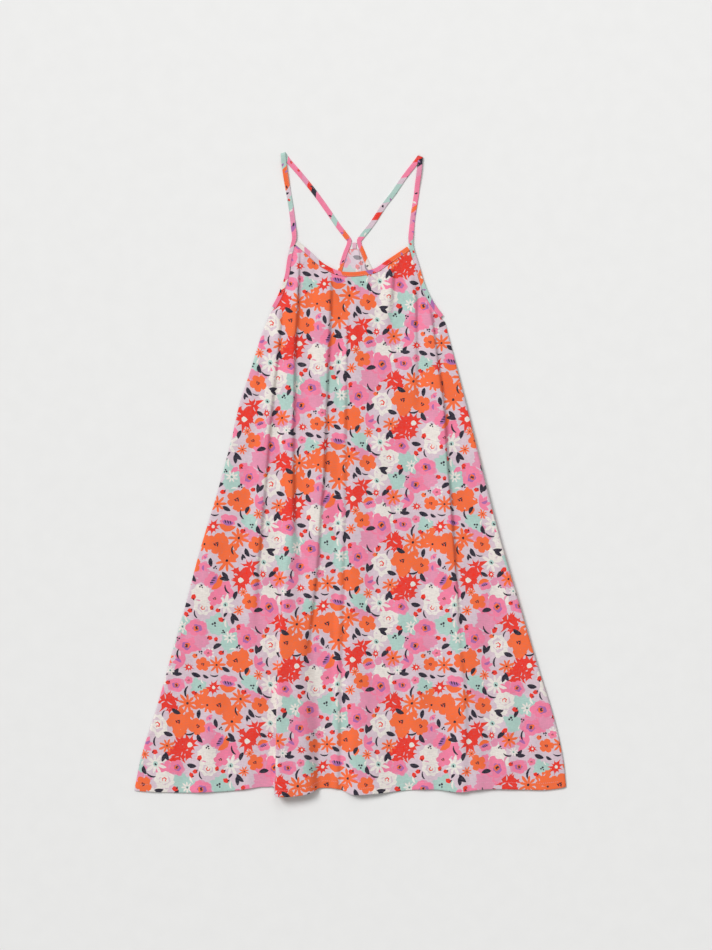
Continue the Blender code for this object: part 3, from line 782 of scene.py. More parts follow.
# %% Form of the front
FRONT_REST = 2.45  # height of the middle of the front's cloth
SEAM_DROP = 1.5
SEAM_ROUND = 3.5  # the cloth turns down to the side seam over this distance
UNDERARM = 212.0
ARM_EASE = 18.0  # folds reach their full height over this distance below the arm
NECK_EASE = 14.0  # and over this below the neck
SEAM_EASE = 9.0  # soft creases die away this near a seam
GATHERS = 13
GATHER_HEIGHT = 1.2
GATHER_REACH = 32.0  # how far down they fade


def rounded_down(from_side, drop):
    """How far an edge has turned down, as a quarter of an ellipse."""
    share = np.clip(from_side / SEAM_ROUND, 0.0, 1.0)
    return drop * (1.0 - np.sqrt(1.0 - (1.0 - share) ** 2))


def front_shape(across, down):
    """Where the middle of the front's cloth lies: across and height, for a place on the plan."""
    left, right = front_left(down), front_right(down)
    from_side = np.minimum(across - left, right - across)
    from_neck = np.maximum(down - neck_edge(across), 0.0)
    below_arm = smooth_step((down - UNDERARM + ARM_EASE / 3) / ARM_EASE)
    held = (0.3 + 0.7 * smooth_step(from_neck / NECK_EASE)) * (
        below_arm + (1.0 - below_arm) * smooth_step((from_side - 0.5) / 10.0)
    )
    folds, lean = fold_form(across, down, FRONT_FOLDS.values())
    place = (across - left) / (right - left)
    turns = GATHERS * place + 0.35 * np.sin(9.0 * place)
    swell = 0.72 + 0.28 * np.sin(2.3 * turns + 1.0)
    wave = 0.5 - 0.5 * np.cos(2 * np.pi * turns)
    gathers = GATHER_HEIGHT * swell * wave * np.exp(-((from_neck / GATHER_REACH) ** 2))
    gathers = gathers * (0.35 + 0.65 * smooth_step(from_neck / 6.0)) * smooth_step(from_side / 8.0)
    soft = crease_form(across, down, FRONT_CREASES) + crumple(across, down)
    soft = soft * smooth_step(from_side / SEAM_EASE) * smooth_step(from_neck / SEAM_EASE)
    height = FRONT_REST + folds * held + gathers + soft - rounded_down(from_side, SEAM_DROP) * below_arm
    height = height + curled_up(right - across, down)
    return across + lean * held, height


# %% Flat address and folded place
TABLE_DOWN = np.arange(110.0, 872.0, 3.0)
TABLE_ACROSS = np.arange(-300.0, 300.1, 0.5)


def flat_and_folded(shape):
    """Two functions: from a place on the plan to the flat cloth, and back."""
    across, down = np.meshgrid(TABLE_ACROSS, TABLE_DOWN)
    folded, height = shape(across, down)
    steps = np.hypot(np.diff(folded, axis=1), np.diff(height, axis=1))
    width = np.concatenate([np.zeros((len(TABLE_DOWN), 1)), np.cumsum(steps, axis=1)], axis=1)
    width -= width[:, [np.searchsorted(TABLE_ACROSS, 0.0)]]

    def rows_round(down):
        row = np.clip((down - TABLE_DOWN[0]) / (TABLE_DOWN[1] - TABLE_DOWN[0]), 0.0, len(TABLE_DOWN) - 1.001)
        return row.astype(int), row - row.astype(int)

    def read(down, use_row):
        down = np.atleast_1d(down)
        row, share = rows_round(down)
        result = np.zeros(len(down))
        for k in np.unique(row):
            here = row == k
            result[here] = use_row(k, here) * (1 - share[here]) + use_row(k + 1, here) * share[here]
        return result

    def to_flat(across, down):
        return read(down, lambda k, here: np.interp(across[here], TABLE_ACROSS, width[k]))

    def to_folded(flat, down):
        return read(down, lambda k, here: np.interp(flat[here], width[k], TABLE_ACROSS))

    return to_flat, to_folded


def with_hem_turn(shape, to_folded, hem, radius, side):
    """The whole way from the flat cloth to the dress; what runs past the hem turns back inside."""

    def place(flat):
        across = to_folded(flat[:, 0], flat[:, 1])
        edge = hem(across)
        past = np.maximum(flat[:, 1] - edge, 0.0)
        angle = np.minimum(past / radius, math.pi)
        returned = np.maximum(past - math.pi * radius, 0.0)
        down = np.where(past > 0.0, edge - returned, flat[:, 1])
        x, height = shape(across, down)
        height = height - side * radius * (1.0 - np.cos(angle))
        return np.column_stack([x, down + radius * np.sin(angle), height])

    return place


front_flat, front_folded = flat_and_folded(front_shape)
FRONT_TURN = 0.5  # radius of the front's turned hem
front_place = with_hem_turn(front_shape, front_folded, front_hem, FRONT_TURN, 1)
for down in (180.0, 350.0, 645.0, 840.0):
    ends = np.array([front_left(down), front_right(down)])
    lying, opened = np.ptp(ends), np.ptp(front_flat(ends, np.array([down, down])))
    print(f"front at {down:.0f} mm down: {lying:.0f} mm lying, {opened:.0f} mm flat")

# %% [markdown]
# The piece's outline, the lines along which it bends, and every flower's outline go together into one
# triangulation that keeps all of them as edges. Each triangle then lies in one ink, so the print is as crisp
# as the mesh, moves with the cloth and needs no picture. Points are dense only where the cloth bends.

# %% Outline and bending lines of a panel
HEM_ALLOWANCE = 10.0
HEM_INSET = 4.0  # the turned part ends this far from the side seams
HEM_ENDS = 300.0  # past both ends of the hem
OUTLINE_STEP = 4.0
ROW_STEP = 6.0
FOLD_SHARES = (-1.0, -0.66, -0.4, -0.18, 0.0, 0.14, 0.28, 0.42, 0.56, 0.7, 0.85, 1.0)
CREASE_SHARES = (-1.1, -0.4, 0.4, 1.1)
SEAM_INSETS = (0.4, 1.0, 1.9, 3.4)


def panel_outline(top, left_edge, right_edge, hem, hem_radius):
    """Plan of a panel: along its top, down the right side, round the turned hem and up the left side."""

    def side(edge, start, end):
        down = np.arange(start + 2.0, hem(end) - 1.0, OUTLINE_STEP)
        return np.column_stack([edge(down), down]), [(float(edge(hem(end))), float(hem(end)))]

    right, corner_right = side(right_edge, top[-1][1], HEM_ENDS)
    left, corner_left = side(left_edge, top[0][1], -HEM_ENDS)
    across = np.arange(corner_right[0][0] - HEM_INSET, corner_left[0][0] + HEM_INSET, -OUTLINE_STEP)
    turned = np.column_stack([across, hem(across) + math.pi * hem_radius + HEM_ALLOWANCE])
    notch_right = [(across[0], float(hem(across[0])) + 0.3)]
    notch_left = [(across[-1], float(hem(across[-1])) + 0.3)]
    return np.vstack([top, right, corner_right, notch_right, turned, notch_left, corner_left, left[::-1]])


def inside(points, outline):
    """Which points lie within a closed outline."""
    x, y = points[:, 0], points[:, 1]
    result = np.zeros(len(points), bool)
    for (x0, y0), (x1, y1) in zip(outline, np.roll(outline, -1, axis=0)):
        crosses = (y0 > y) != (y1 > y)
        result ^= crosses & (x < x0 + (y - y0) * (x1 - x0) / (y1 - y0 if y1 != y0 else 1.0))
    return result


def fold_lines(folds):
    """Lines down each fold: its feet, its crest and the steep side between them."""
    lines = []
    for rows in folds:
        down = np.arange(rows[0][0], rows[-1][0] + 2 * ROW_STEP, ROW_STEP)
        left, crest, right, _high = fold_columns(rows, down)
        steep_right = np.sum((crest - left) - (right - crest)) > 0
        for share in FOLD_SHARES:
            share = share if steep_right else -share
            reach = (crest - left) if share < 0 else (right - crest)
            lines.append(np.column_stack([crest + share * reach, down]))
    return lines


def crease_lines(creases):
    lines = []
    for from_down, from_across, to_down, to_across, half, _high in creases:
        down = np.arange(from_down, to_down, 1.5 * ROW_STEP)
        middle = from_across + (to_across - from_across) * (down - from_down) / (to_down - from_down)
        lines.extend(np.column_stack([middle + share * half, down]) for share in CREASE_SHARES)
    return lines


def hem_lines(hem, hem_radius):
    across = np.arange(-280.5, 280.5, 5.0)
    past = [-2.0, *np.linspace(0.0, math.pi * hem_radius, 6), math.pi * hem_radius + 4.0]
    return [np.column_stack([across, hem(across) + step]) for step in past]


def side_lines(left_edge, right_edge, hem):
    down = np.arange(UNDERARM + 6.0, hem(0.0) - 9.0, ROW_STEP)
    lines = []
    for inset in SEAM_INSETS:
        lines.append(np.column_stack([left_edge(down) + inset, down]))
        lines.append(np.column_stack([right_edge(down) - inset, down]))
    return lines


def panel_lines(folds, creases, left_edge, right_edge, hem, hem_radius):
    """Every line along which a panel bends."""
    return (
        fold_lines(folds) + crease_lines(creases) + side_lines(left_edge, right_edge, hem)
        + hem_lines(hem, hem_radius)
    )


def spread_points(outline, step):
    """Loose points a step apart over the rest of a panel."""
    low, high = outline.min(0), outline.max(0)
    points = []
    for k, down in enumerate(np.arange(low[1] + step / 2, high[1], step)):
        across = np.arange(low[0] + step * (0.25 + 0.5 * (k % 2)), high[0], step)
        points.append(np.column_stack([across, np.full(len(across), down)]))
    points = np.vstack(points)
    return points[inside(points, outline)]


# %% Cutting the print into the cloth
WELD = 1e-4  # points nearer than this are one


def turned_left(outline):
    """The outline run anticlockwise, which is how the triangulation tells inside from outside."""
    x, y = outline.T
    area = np.sum(x * np.roll(y, -1) - np.roll(x, -1) * y)
    return outline if area > 0 else outline[::-1]


def triangulated(groups, edges, faces):
    """Flat points, triangles and the faces that hold each triangle, with every given edge kept."""
    points = [Vector(point) for point in np.vstack(groups)]
    found = delaunay_2d_cdt(points, edges, faces, 0, WELD, True)
    flat = np.array([point[:] for point in found[0]])
    within = [k for k, owners in enumerate(found[5]) if 0 in owners]
    triangles = np.array([found[2][k] for k in within])
    used, triangles = np.unique(triangles, return_inverse=True)
    return flat[used], triangles.reshape(-1, 3), [max(found[5][k]) for k in within]


def print_on_flat(outline, shapes):
    """One piece of flat cloth split along every printed shape, later shapes over earlier ones."""
    groups = [turned_left(outline)]
    faces = [list(range(len(outline)))]
    inks = ["ground"]
    used = len(outline)
    for ink, shape in shapes:
        groups.append(turned_left(shape))
        faces.append(list(range(used, used + len(shape))))
        inks.append(ink)
        used += len(shape)
    flat, triangles, owners = triangulated(groups, [], faces)
    return flat, triangles, [inks[owner] for owner in owners]


def directed_edges(triangles):
    return np.vstack([triangles[:, [0, 1]], triangles[:, [1, 2]], triangles[:, [2, 0]]])


def ink_borders(triangles, inks):
    """The edges that part two inks; what later shapes cover is left out."""
    number = {ink: k for k, ink in enumerate(INKS)}
    tone = np.tile([number[ink] for ink in inks], 3)
    edges = np.sort(directed_edges(triangles), axis=1)
    order = np.lexsort((edges[:, 1], edges[:, 0]))
    edges, tone = edges[order], tone[order]
    paired = (edges[1:] == edges[:-1]).all(axis=1)
    parts = paired & (tone[1:] != tone[:-1])
    return edges[1:][parts]


def outer_loop(triangles):
    """The points round the edge of a piece, in order."""
    pairs = {(int(a), int(b)) for a, b in directed_edges(triangles)}
    following = {a: b for a, b in pairs if (b, a) not in pairs}
    loop = [next(iter(following))]
    while following[loop[-1]] != loop[0]:
        loop.append(following[loop[-1]])
    return loop


# %% Cloth that can bend
def cut_cloth(outline, printed, lines, loose, inks_to=math.inf):
    """Triangles of flat cloth, split along its outline, its bending lines and, down to a row, its inks."""
    flat, triangles, inks = printed
    borders = ink_borders(triangles, inks)
    borders = borders[flat[borders].mean(axis=1)[:, 1] < inks_to]
    used_points, borders = np.unique(borders, return_inverse=True)
    groups = [outline]
    count = len(outline)
    edges = []
    if len(used_points):
        groups.append(flat[used_points])
        edges = (borders.reshape(-1, 2) + count).tolist()
        count += len(used_points)
    for line in lines:
        groups.append(line)
        edges.extend((count + k, count + k + 1) for k in range(len(line) - 1))
        count += len(line)
    if len(loose):
        groups.append(loose)
    new_flat, new_triangles, _owners = triangulated(groups, edges, [list(range(len(outline)))])
    lookup = BVHTree.FromPolygons([(x, y, 0.0) for x, y in flat], triangles.tolist(), all_triangles=True)
    middles = new_flat[new_triangles].mean(axis=1)
    new_inks = [inks[lookup.find_nearest((x, y, 0.0))[2]] for x, y in middles]
    return new_flat, new_triangles, new_inks


# %% From flat cloth to the dress
def on_the_dress(flat, place, side, step=0.25):
    """Places in the frame and outward directions for points of the flat cloth."""
    middle = place(flat)
    right = place(flat + (step, 0.0)) - place(flat - (step, 0.0))
    down = place(flat + (0.0, step)) - place(flat - (0.0, step))
    normal = side * np.cross(down * TABLE_TO_FRAME, right * TABLE_TO_FRAME)
    normal /= np.maximum(np.linalg.norm(normal, axis=1), 1e-12)[:, None]
    return middle, normal


def linear(ink):
    """An ink's colour as light, from the 0 to 255 that a screen shows."""
    return [((c / 255 + 0.055) / 1.055) ** 2.4 if c > 10 else c / 3294.6 for c in INKS[ink]]


def placed(name, data):
    """A new object in the scene that shows a mesh, light or camera."""
    thing = bpy.data.objects.new(name, data)
    bpy.context.scene.collection.objects.link(thing)
    return thing


def cloth_mesh(name, points, normals, faces, inks, corner_flats, materials):
    """A mesh with the inks as colours on its corners and the flat cloth as its UV map."""
    mesh = bpy.data.meshes.new(name)
    mesh.from_pydata(points.tolist(), [], faces)
    mesh.shade_smooth()
    for material in materials:
        mesh.materials.append(material)
    sizes = [len(face) for face in faces]
    colours = np.array([(*linear(ink), 1.0) for ink in inks])
    layer = mesh.color_attributes.new("print", "FLOAT_COLOR", "CORNER")
    layer.data.foreach_set("color", np.repeat(colours, sizes, axis=0).astype(np.float32).ravel())
    sheet_map = mesh.uv_layers.new(name="cloth")
    sheet_map.data.foreach_set("uv", (corner_flats * MM).astype(np.float32).ravel())
    mesh.normals_split_custom_set_from_vertices(normals.tolist())
    return placed(name, mesh)


# %% Two skins and a closed edge
def thin_shell(name, outside, inside_cut, place, side):
    """Cloth of a real thickness: printed outside, wrong side within, and a closed edge all round."""
    flats, faces, face_inks, normals, frame_points, loops = [], [], [], [], [], []
    used = 0
    for (flat, triangles, inks), way in ((outside, 1.0), (inside_cut, -1.0)):
        middle, normal = on_the_dress(flat, place, side)
        off_middle = way * CLOTH_THICKNESS / 2 * normal * TABLE_TO_FRAME
        frame_points.append(to_world(*(middle + off_middle).T))
        normals.append(way * normal)
        flats.append(flat)
        facing = triangles if way * side < 0 else triangles[:, ::-1]
        faces.extend((facing + used).tolist())
        face_inks.extend(inks)
        loops.append([point + used for point in outer_loop(triangles)])
        used += len(flat)
    outer, inner = loops
    flats = np.vstack(flats)
    start = np.linalg.norm(flats[inner] - flats[outer[0]], axis=1).argmin()
    inner = inner[start:] + inner[:start]
    assert len(outer) == len(inner), (len(outer), len(inner))
    for k in range(len(outer)):
        after = (k + 1) % len(outer)
        rim = (outer[k], outer[after], inner[after], inner[k])
        faces.append(rim if side > 0 else rim[::-1])
        face_inks.append("ground")
    corners = np.array([corner for face in faces for corner in face])
    piece = cloth_mesh(
        name, np.vstack(frame_points), np.vstack(normals), faces, face_inks, flats[corners],
        [RIGHT_SIDE_CLOTH, WRONG_SIDE_CLOTH],
    )
    slots = np.zeros(len(faces), np.int32)
    slots[len(outside[1]) : len(faces) - len(outer)] = 1
    piece.data.polygons.foreach_set("material_index", slots)
    print(name, "has", sum(len(face) - 2 for face in faces), "triangles")
    return piece


# %% [markdown]
# The cloth is a thin washed cotton or viscose with a slight crinkle: matt, with a breath of sheen, and fine
# slubs both ways that break up the flat inks. The nodes read the flat cloth's own map, so the threads run
# straight down the dress and bend with it. Stretched noise makes uneven threads, where waves look ruled.


# %% Nodes that the finishes share
class Finish:
    """A material in the making: its nodes, and short ways to join them."""

    def __init__(self, name, **shader_values):
        self.material = bpy.data.materials.new(name)
        self.material.use_nodes = True
        self.nodes, self.links = self.material.node_tree.nodes, self.material.node_tree.links
        self.shader = self.nodes["Principled BSDF"]
        for socket, value in shader_values.items():
            self.shader.inputs[socket.replace("_", " ")].default_value = value

    def plug(self, value, socket):
        if isinstance(value, bpy.types.NodeSocket):
            self.links.new(value, socket)
        else:
            socket.default_value = value

    def dress(self, socket, value):
        self.plug(value, self.shader.inputs[socket])

    def noise(self, vector, scale, detail=2.0):
        mapping = self.nodes.new("ShaderNodeMapping")
        mapping.inputs["Scale"].default_value = scale
        texture = self.nodes.new("ShaderNodeTexNoise")
        texture.inputs["Scale"].default_value = 1.0
        texture.inputs["Detail"].default_value = detail
        self.plug(vector, mapping.inputs["Vector"])
        self.plug(mapping.outputs["Vector"], texture.inputs["Vector"])
        return texture.outputs["Fac"]

    def between(self, value, low, high, start=0.3, end=0.7):
        """A value that runs from start to end, spread over low to high."""
        spread = self.nodes.new("ShaderNodeMapRange")
        for socket, number in zip(("From Min", "From Max", "To Min", "To Max"), (start, end, low, high)):
            spread.inputs[socket].default_value = number
        self.plug(value, spread.inputs["Value"])
        return spread.outputs["Result"]

    def combine(self, operation, first, second):
        math_node = self.nodes.new("ShaderNodeMath")
        math_node.operation = operation
        for value, socket in zip((first, second), math_node.inputs):
            self.plug(value, socket)
        return math_node.outputs["Value"]

    def grey(self, level):
        tone = self.nodes.new("ShaderNodeCombineColor")
        for channel in ("Red", "Green", "Blue"):
            self.plug(level, tone.inputs[channel])
        return tone.outputs["Color"]

    def mixed(self, share, first, second, blend="MIX"):
        mix = self.nodes.new("ShaderNodeMix")
        mix.data_type = "RGBA"
        mix.blend_type = blend
        for value, socket in ((share, 0), (first, 6), (second, 7)):
            self.plug(value, mix.inputs[socket])
        return mix.outputs[2]

    def raised(self, height, strength, distance):
        """Fine relief that is too small for the mesh."""
        bump = self.nodes.new("ShaderNodeBump")
        bump.inputs["Strength"].default_value = strength
        bump.inputs["Distance"].default_value = distance
        self.plug(height, bump.inputs["Height"])
        self.dress("Normal", bump.outputs["Normal"])


# %% Woven printed cloth
BARE_CLOTH = (0.78, 0.70, 0.76, 1.0)


def printed_cloth(name, wrong_side=0.0):
    """Cloth with its inks on the colour attribute; wrong_side is how far they pale toward the bare cloth."""
    cloth = Finish(name, Specular_IOR_Level=0.25, Sheen_Weight=0.12, Sheen_Roughness=0.45)
    inks = cloth.nodes.new("ShaderNodeVertexColor")
    inks.layer_name = "print"
    sheet_map = cloth.nodes.new("ShaderNodeUVMap")
    sheet_map.uv_map = "cloth"
    flat_place = sheet_map.outputs["UV"]
    weft = cloth.noise(flat_place, (170.0, 820.0, 1.0))
    warp = cloth.noise(flat_place, (760.0, 150.0, 1.0))
    cloud = cloth.noise(flat_place, (60.0, 60.0, 1.0), 4.0)
    weft_share, warp_share = cloth.combine("MULTIPLY", weft, 0.62), cloth.combine("MULTIPLY", warp, 0.38)
    threads = cloth.combine("ADD", weft_share, warp_share)
    slubs = cloth.between(threads, 0.86, 1.06, 0.36, 0.64)
    shade = cloth.combine("MULTIPLY", slubs, cloth.between(cloud, 0.96, 1.04))
    dimmed = cloth.mixed(1.0, inks.outputs["Color"], cloth.grey(shade), "MULTIPLY")
    paled = cloth.between(threads, wrong_side + 0.08, wrong_side, 0.34, 0.62)
    cloth.dress("Base Color", cloth.mixed(paled, dimmed, BARE_CLOTH))
    cloth.dress("Roughness", cloth.between(threads, 0.95, 0.78))
    fine = cloth.noise(flat_place, (1900.0, 1900.0, 1.0), 1.0)
    cloth.raised(cloth.combine("ADD", threads, cloth.combine("MULTIPLY", fine, 0.25)), 0.5, 0.0006)
    return cloth.material


RIGHT_SIDE_CLOTH = printed_cloth("Printed crinkle cloth")
WRONG_SIDE_CLOTH = printed_cloth("Wrong side of the cloth", 0.34)

# %% [markdown]
# The front is one flared panel. Its print starts wherever the cutter laid it, so the tile's offset is only
# a choice. The outline, the fold lines and the hem lines are taken to the flat cloth, cut there with the
# print, and the triangles are carried back to the dress.

# %% From a plan to two skins
def kept_inside(lines, outline):
    """The stretches of the lines that lie within an outline."""
    result = []
    for line in lines:
        stretch = []
        for point, within in zip(line, inside(line, outline)):
            if within:
                stretch.append(point)
            elif stretch:
                result.append(np.array(stretch))
                stretch = []
        if stretch:
            result.append(np.array(stretch))
    return [line for line in result if len(line) > 1]


def flattened(points, to_flat):
    return np.column_stack([to_flat(points[:, 0], points[:, 1]), points[:, 1]])


def cut_panel(outline, lines, loose, print_start, to_flat, inks_inside_to):
    """The panel's outer and inner skin; inside, the print is cut only down to a row."""
    lines = kept_inside(lines, outline)
    outline, loose = flattened(outline, to_flat), flattened(loose, to_flat)
    printed = print_on_flat(outline, print_laid_at(outline, print_start))
    outside = cut_cloth(turned_left(outline), printed, [flattened(line, to_flat) for line in lines], loose)
    every_second = [flattened(line[::2], to_flat) for line in lines if len(line) > 2]
    same_edge = outside[0][outer_loop(outside[1])]
    return outside, cut_cloth(same_edge, printed, every_second, loose, inks_inside_to)


# %% Front panel
FRONT_PRINT = (40.0, 30.0)  # where on the print the cutter laid the pattern
FRONT_LOOSE = 10.0
NECK_LOOSE = 3.2
NECK_REACH = 34.0  # points are dense this far below the neck, where the gathers are
NECK_LOWEST = 230.0


def neck_top():
    """The front's top edge between its two shoulder corners."""
    across, down = NECK_EDGE[::5].T
    between_sides = (across > front_left(down) + 0.6) & (across < front_right(down) - 0.6)
    return NECK_EDGE[::5][between_sides]


front_outline = panel_outline(neck_top(), front_left, front_right, front_hem, FRONT_TURN)
near_neck = spread_points(front_outline[front_outline[:, 1] < NECK_LOWEST], NECK_LOOSE)
near_neck = near_neck[(near_neck[:, 1] - neck_edge(near_neck[:, 0])) < NECK_REACH]
front_outside, front_inside = cut_panel(
    front_outline,
    panel_lines(FRONT_FOLDS.values(), FRONT_CREASES, front_left, front_right, front_hem, FRONT_TURN),
    np.vstack([spread_points(front_outline, FRONT_LOOSE), near_neck]),
    FRONT_PRINT, front_flat, 0.0,
)
front = thin_shell("front_cloth", front_outside, front_inside, front_place, 1)
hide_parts("front_panel")

# %% [markdown]
# The back is cut like the front, but deeper at the armholes, and it lies on the surface with its outer face
# down. Its narrow tongue shows between the straps, from inside, so there the wrong side carries the print
# too, paled as ink is when it only soaks through. A small tuck runs down the tongue.

# %% Form of the back
BACK_REST = 0.27  # height of the middle of the back's cloth
BACK_TURN = 0.3  # radius of its turned hem
BACK_PRINT = (118.0, 64.0)
BACK_LOOSE = 11.0
BACK_SEAM_RISE = 0.42
BACK_CRUMPLE = 0.3  # share of the front's crumple
CRUMPLE_DEPTH = 0.39
TONGUE_TOP = 129.4
WRONG_SIDE_SHOWS_TO = 262.0

back_left = curve_through([(216.0, -106.0 + SIDE_INSET)] + [(d, a + SIDE_INSET) for d, a in LEFT_SIDE[1:]])
back_right = curve_through([(227.5, 125.6 - SIDE_INSET)] + [(d, a - SIDE_INSET) for d, a in RIGHT_SIDE[1:]])


def back_shape(across, down):
    """Where the middle of the back's cloth lies: across and height, for a place on the plan."""
    from_side = np.minimum(across - back_left(down), back_right(down) - across)
    below_arm = smooth_step((down - UNDERARM - 8.0) / 16.0)
    tuck, lean = fold_form(across, down, [BACK_TUCK])
    soft = crease_form(across, down, BACK_CREASES) + BACK_CRUMPLE * (crumple(across, down) + CRUMPLE_DEPTH)
    soft = soft * smooth_step((from_side - 1.0) / 9.0) * smooth_step((down - UNDERARM) / 24.0)
    height = BACK_REST + tuck + soft + rounded_down(from_side, BACK_SEAM_RISE) * below_arm
    height = height + curled_up(back_right(down) - across, down) * below_arm
    return across + lean, height


def back_top():
    """The back's top edge, up one armhole, over the tongue and down the other."""
    left = beside(smooth_path(BACK_ARMHOLE["left"], 4.0), -REACH)
    right = beside(smooth_path(BACK_ARMHOLE["right"], 4.0), REACH)
    left = left[left[:, 1] > TONGUE_TOP + 1.0][::-1]
    right = right[right[:, 1] > TONGUE_TOP + 1.0]
    corners = [(left[-1, 0] + 0.3, TONGUE_TOP), (right[0, 0] - 0.3, TONGUE_TOP)]
    return np.vstack([left, corners, right])


# %% Back panel
back_flat, back_folded = flat_and_folded(back_shape)
back_place = with_hem_turn(back_shape, back_folded, back_hem, BACK_TURN, -1)
back_outline = panel_outline(back_top(), back_left, back_right, back_hem, BACK_TURN)
back_outside, back_inside = cut_panel(
    back_outline,
    panel_lines([BACK_TUCK], BACK_CREASES, back_left, back_right, back_hem, BACK_TURN),
    spread_points(back_outline, BACK_LOOSE),
    BACK_PRINT, back_flat, WRONG_SIDE_SHOWS_TO,
)
back = thin_shell("back_cloth", back_outside, back_inside, back_place, -1)
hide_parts("back_panel")

# %% [markdown]
# On each side one narrow strip does three jobs. It binds the front armhole, rises from the neck corner as
# the strap, folds over at the top, comes down inside to the tongue, and goes on as the back armhole's
# binding. Folded in four it is a flat band with round edges, cut on the bias, so its print is turned.
# A band is a section carried along a path; here the path also says how the band leans, so that it can
# turn over at the strap's fold.

# %% Section of a folded strip
GAP = 0.3
STITCH_IN = 1.2  # the edge stitching runs this far in
GROOVE = 0.06  # and sinks this deep
GROOVE_HALF = 0.4
DOME = 0.05
EDGE_ROUND = 0.45
STRIP_STEP = 2.0  # length of strip between two sections
FOLD_ROWS = 11  # sections round the strap's fold
# Each pair: where along the strip a change starts and where it ends.
CLIMB_TO_FOLD = (56.0, 20.0)  # the front run climbs over the back run, from the strap's fold
DROP_FROM_CORNER = (30.0, 4.0)  # it comes down from the front panel, from the neck corner
WIDENS = (0.0, 14.0)
NARROWS = (-6.0, 6.0)  # from the tongue's top


def strip_section(width):
    """The section of a strip, round from the edge where its folded sides meet, in millimetres."""
    half, edge = width / 2, STRIP_THICK / 2
    flat = half - EDGE_ROUND
    turns = np.linspace(-math.pi / 2, math.pi / 2, 7)
    right_end = np.column_stack([flat + EDGE_ROUND * np.cos(turns), edge * np.sin(turns)])
    stitched = half - STITCH_IN
    stops = np.array([flat, stitched + GROOVE_HALF, stitched, stitched - GROOVE_HALF, flat * 0.4, 0.0])
    stops = np.concatenate([stops, -stops[-2::-1]])[1:-1]
    dome = DOME * (1.0 - (stops / half) ** 2)
    groove = np.where(np.abs(np.abs(stops) - stitched) < 0.01, GROOVE, 0.0)
    upper = np.column_stack([stops, edge + dome - groove])
    under = np.column_stack([stops, groove - edge])[::-1]
    return np.vstack([right_end[3:], upper, right_end[::-1] * (-1.0, 1.0), under, right_end[:4]])


def strip_reader(width):
    """How far round the strip its section's points are, with their side and lift as shares."""
    section = strip_section(width)
    return walked(section), section[:, 0] / (width / 2), section[:, 1] / (STRIP_THICK / 2)


def way_to_row(width, to_right, upper):
    """How far round the strip a row of edge stitches lies."""
    section = strip_section(width)
    row = ((width / 2 - STITCH_IN) * to_right, (STRIP_THICK / 2) * upper)
    return walked(section)[np.linalg.norm(section - row, axis=1).argmin()]


# %% A strip along its path
def strip_line(path, heights, widths, turn_over):
    """Middle, half width and half thickness of a level strip at each point of its path."""
    half = square_to(headings(path)) * (np.asarray(widths) / 2)[:, None]
    middle = np.column_stack([path, heights])
    half = np.column_stack([turn_over * half, np.zeros(len(path))])
    lift = np.zeros((len(path), 3))
    lift[:, 2] = -turn_over * STRIP_THICK / 2
    return middle, half, lift


def turned_over(fold_point, going, coming):
    """The rows of a strap that comes up one way, folds over at a point and goes down another."""
    fold_line = unit(going + coming)
    away = unit(going - fold_line * float(going @ fold_line))
    square = np.array([going[1], -going[0]])
    half = fold_line * (STRAP_WIDTH / 2) / float(fold_line @ square)
    angles = np.linspace(0.0, math.pi, FOLD_ROWS)
    out = np.array([(*(away * math.sin(angle)), math.cos(angle)) for angle in angles])
    middle = np.array([*fold_point, STRIP_THICK + GAP / 2]) + (STRIP_THICK + GAP) / 2 * out
    return middle, np.tile((*half, 0.0), (FOLD_ROWS, 1)), out * STRIP_THICK / 2


def shoulder_strip(side):
    """The whole strip of one side, from the front underarm over the strap's fold to the back underarm."""
    front = smooth_path(FRONT_ARMHOLE[side][::-1] + STRAP_FRONT_RUN[side][1:], STRIP_STEP)
    corner = np.linalg.norm(front - FRONT_ARMHOLE[side][0], axis=1).argmin()
    fold_point = np.array(STRAP_FOLD[side])
    from_corner = walked(front) - walked(front)[corner]
    to_fold = walked(np.vstack([front, fold_point]))[-1] - walked(front)
    upper = STRIP_THICK + GAP
    over_back = upper * eased(to_fold, *CLIMB_TO_FOLD)
    low = np.maximum(over_back, FRONT_BASE * eased(from_corner, *DROP_FROM_CORNER))
    widths = ARMHOLE_BINDING + (STRAP_WIDTH - ARMHOLE_BINDING) * eased(from_corner, *WIDENS)
    front_rows = strip_line(front, low + STRIP_THICK / 2, widths, -1)

    back = smooth_path(STRAP_BACK_RUN[side] + BACK_ARMHOLE[side][1:], STRIP_STEP)
    tongue = np.linalg.norm(back - STRAP_BACK_RUN[side][-1], axis=1).argmin()
    past_tongue = walked(back) - walked(back)[tongue]
    widths = STRAP_WIDTH + (ARMHOLE_BINDING - STRAP_WIDTH) * eased(past_tongue, *NARROWS)
    back_rows = strip_line(back, np.full(len(back), STRIP_THICK / 2), widths, 1)

    fold_rows = turned_over(fold_point, unit(fold_point - front[-1]), unit(back[0] - fold_point))
    return [np.vstack(parts) for parts in zip(front_rows, fold_rows, back_rows)]


def strip_place(rows, width):
    """Way from the flat strip to the dress, with its length and the way round."""
    middle, half, lift = rows
    far, side_share, lift_share = strip_reader(width)
    along = walked(middle)

    def carried(table, where):
        return np.column_stack([np.interp(where, along, table[:, k]) for k in range(3)])

    def place(flat):
        round_it = np.mod(flat[:, 0], far[-1])
        share = np.interp(round_it, far, side_share)[:, None]
        up = np.interp(round_it, far, lift_share)[:, None]
        where = np.clip(flat[:, 1], 0.0, along[-1])
        return carried(middle, where) + share * carried(half, where) + up * carried(lift, where)

    return place, along[-1], far


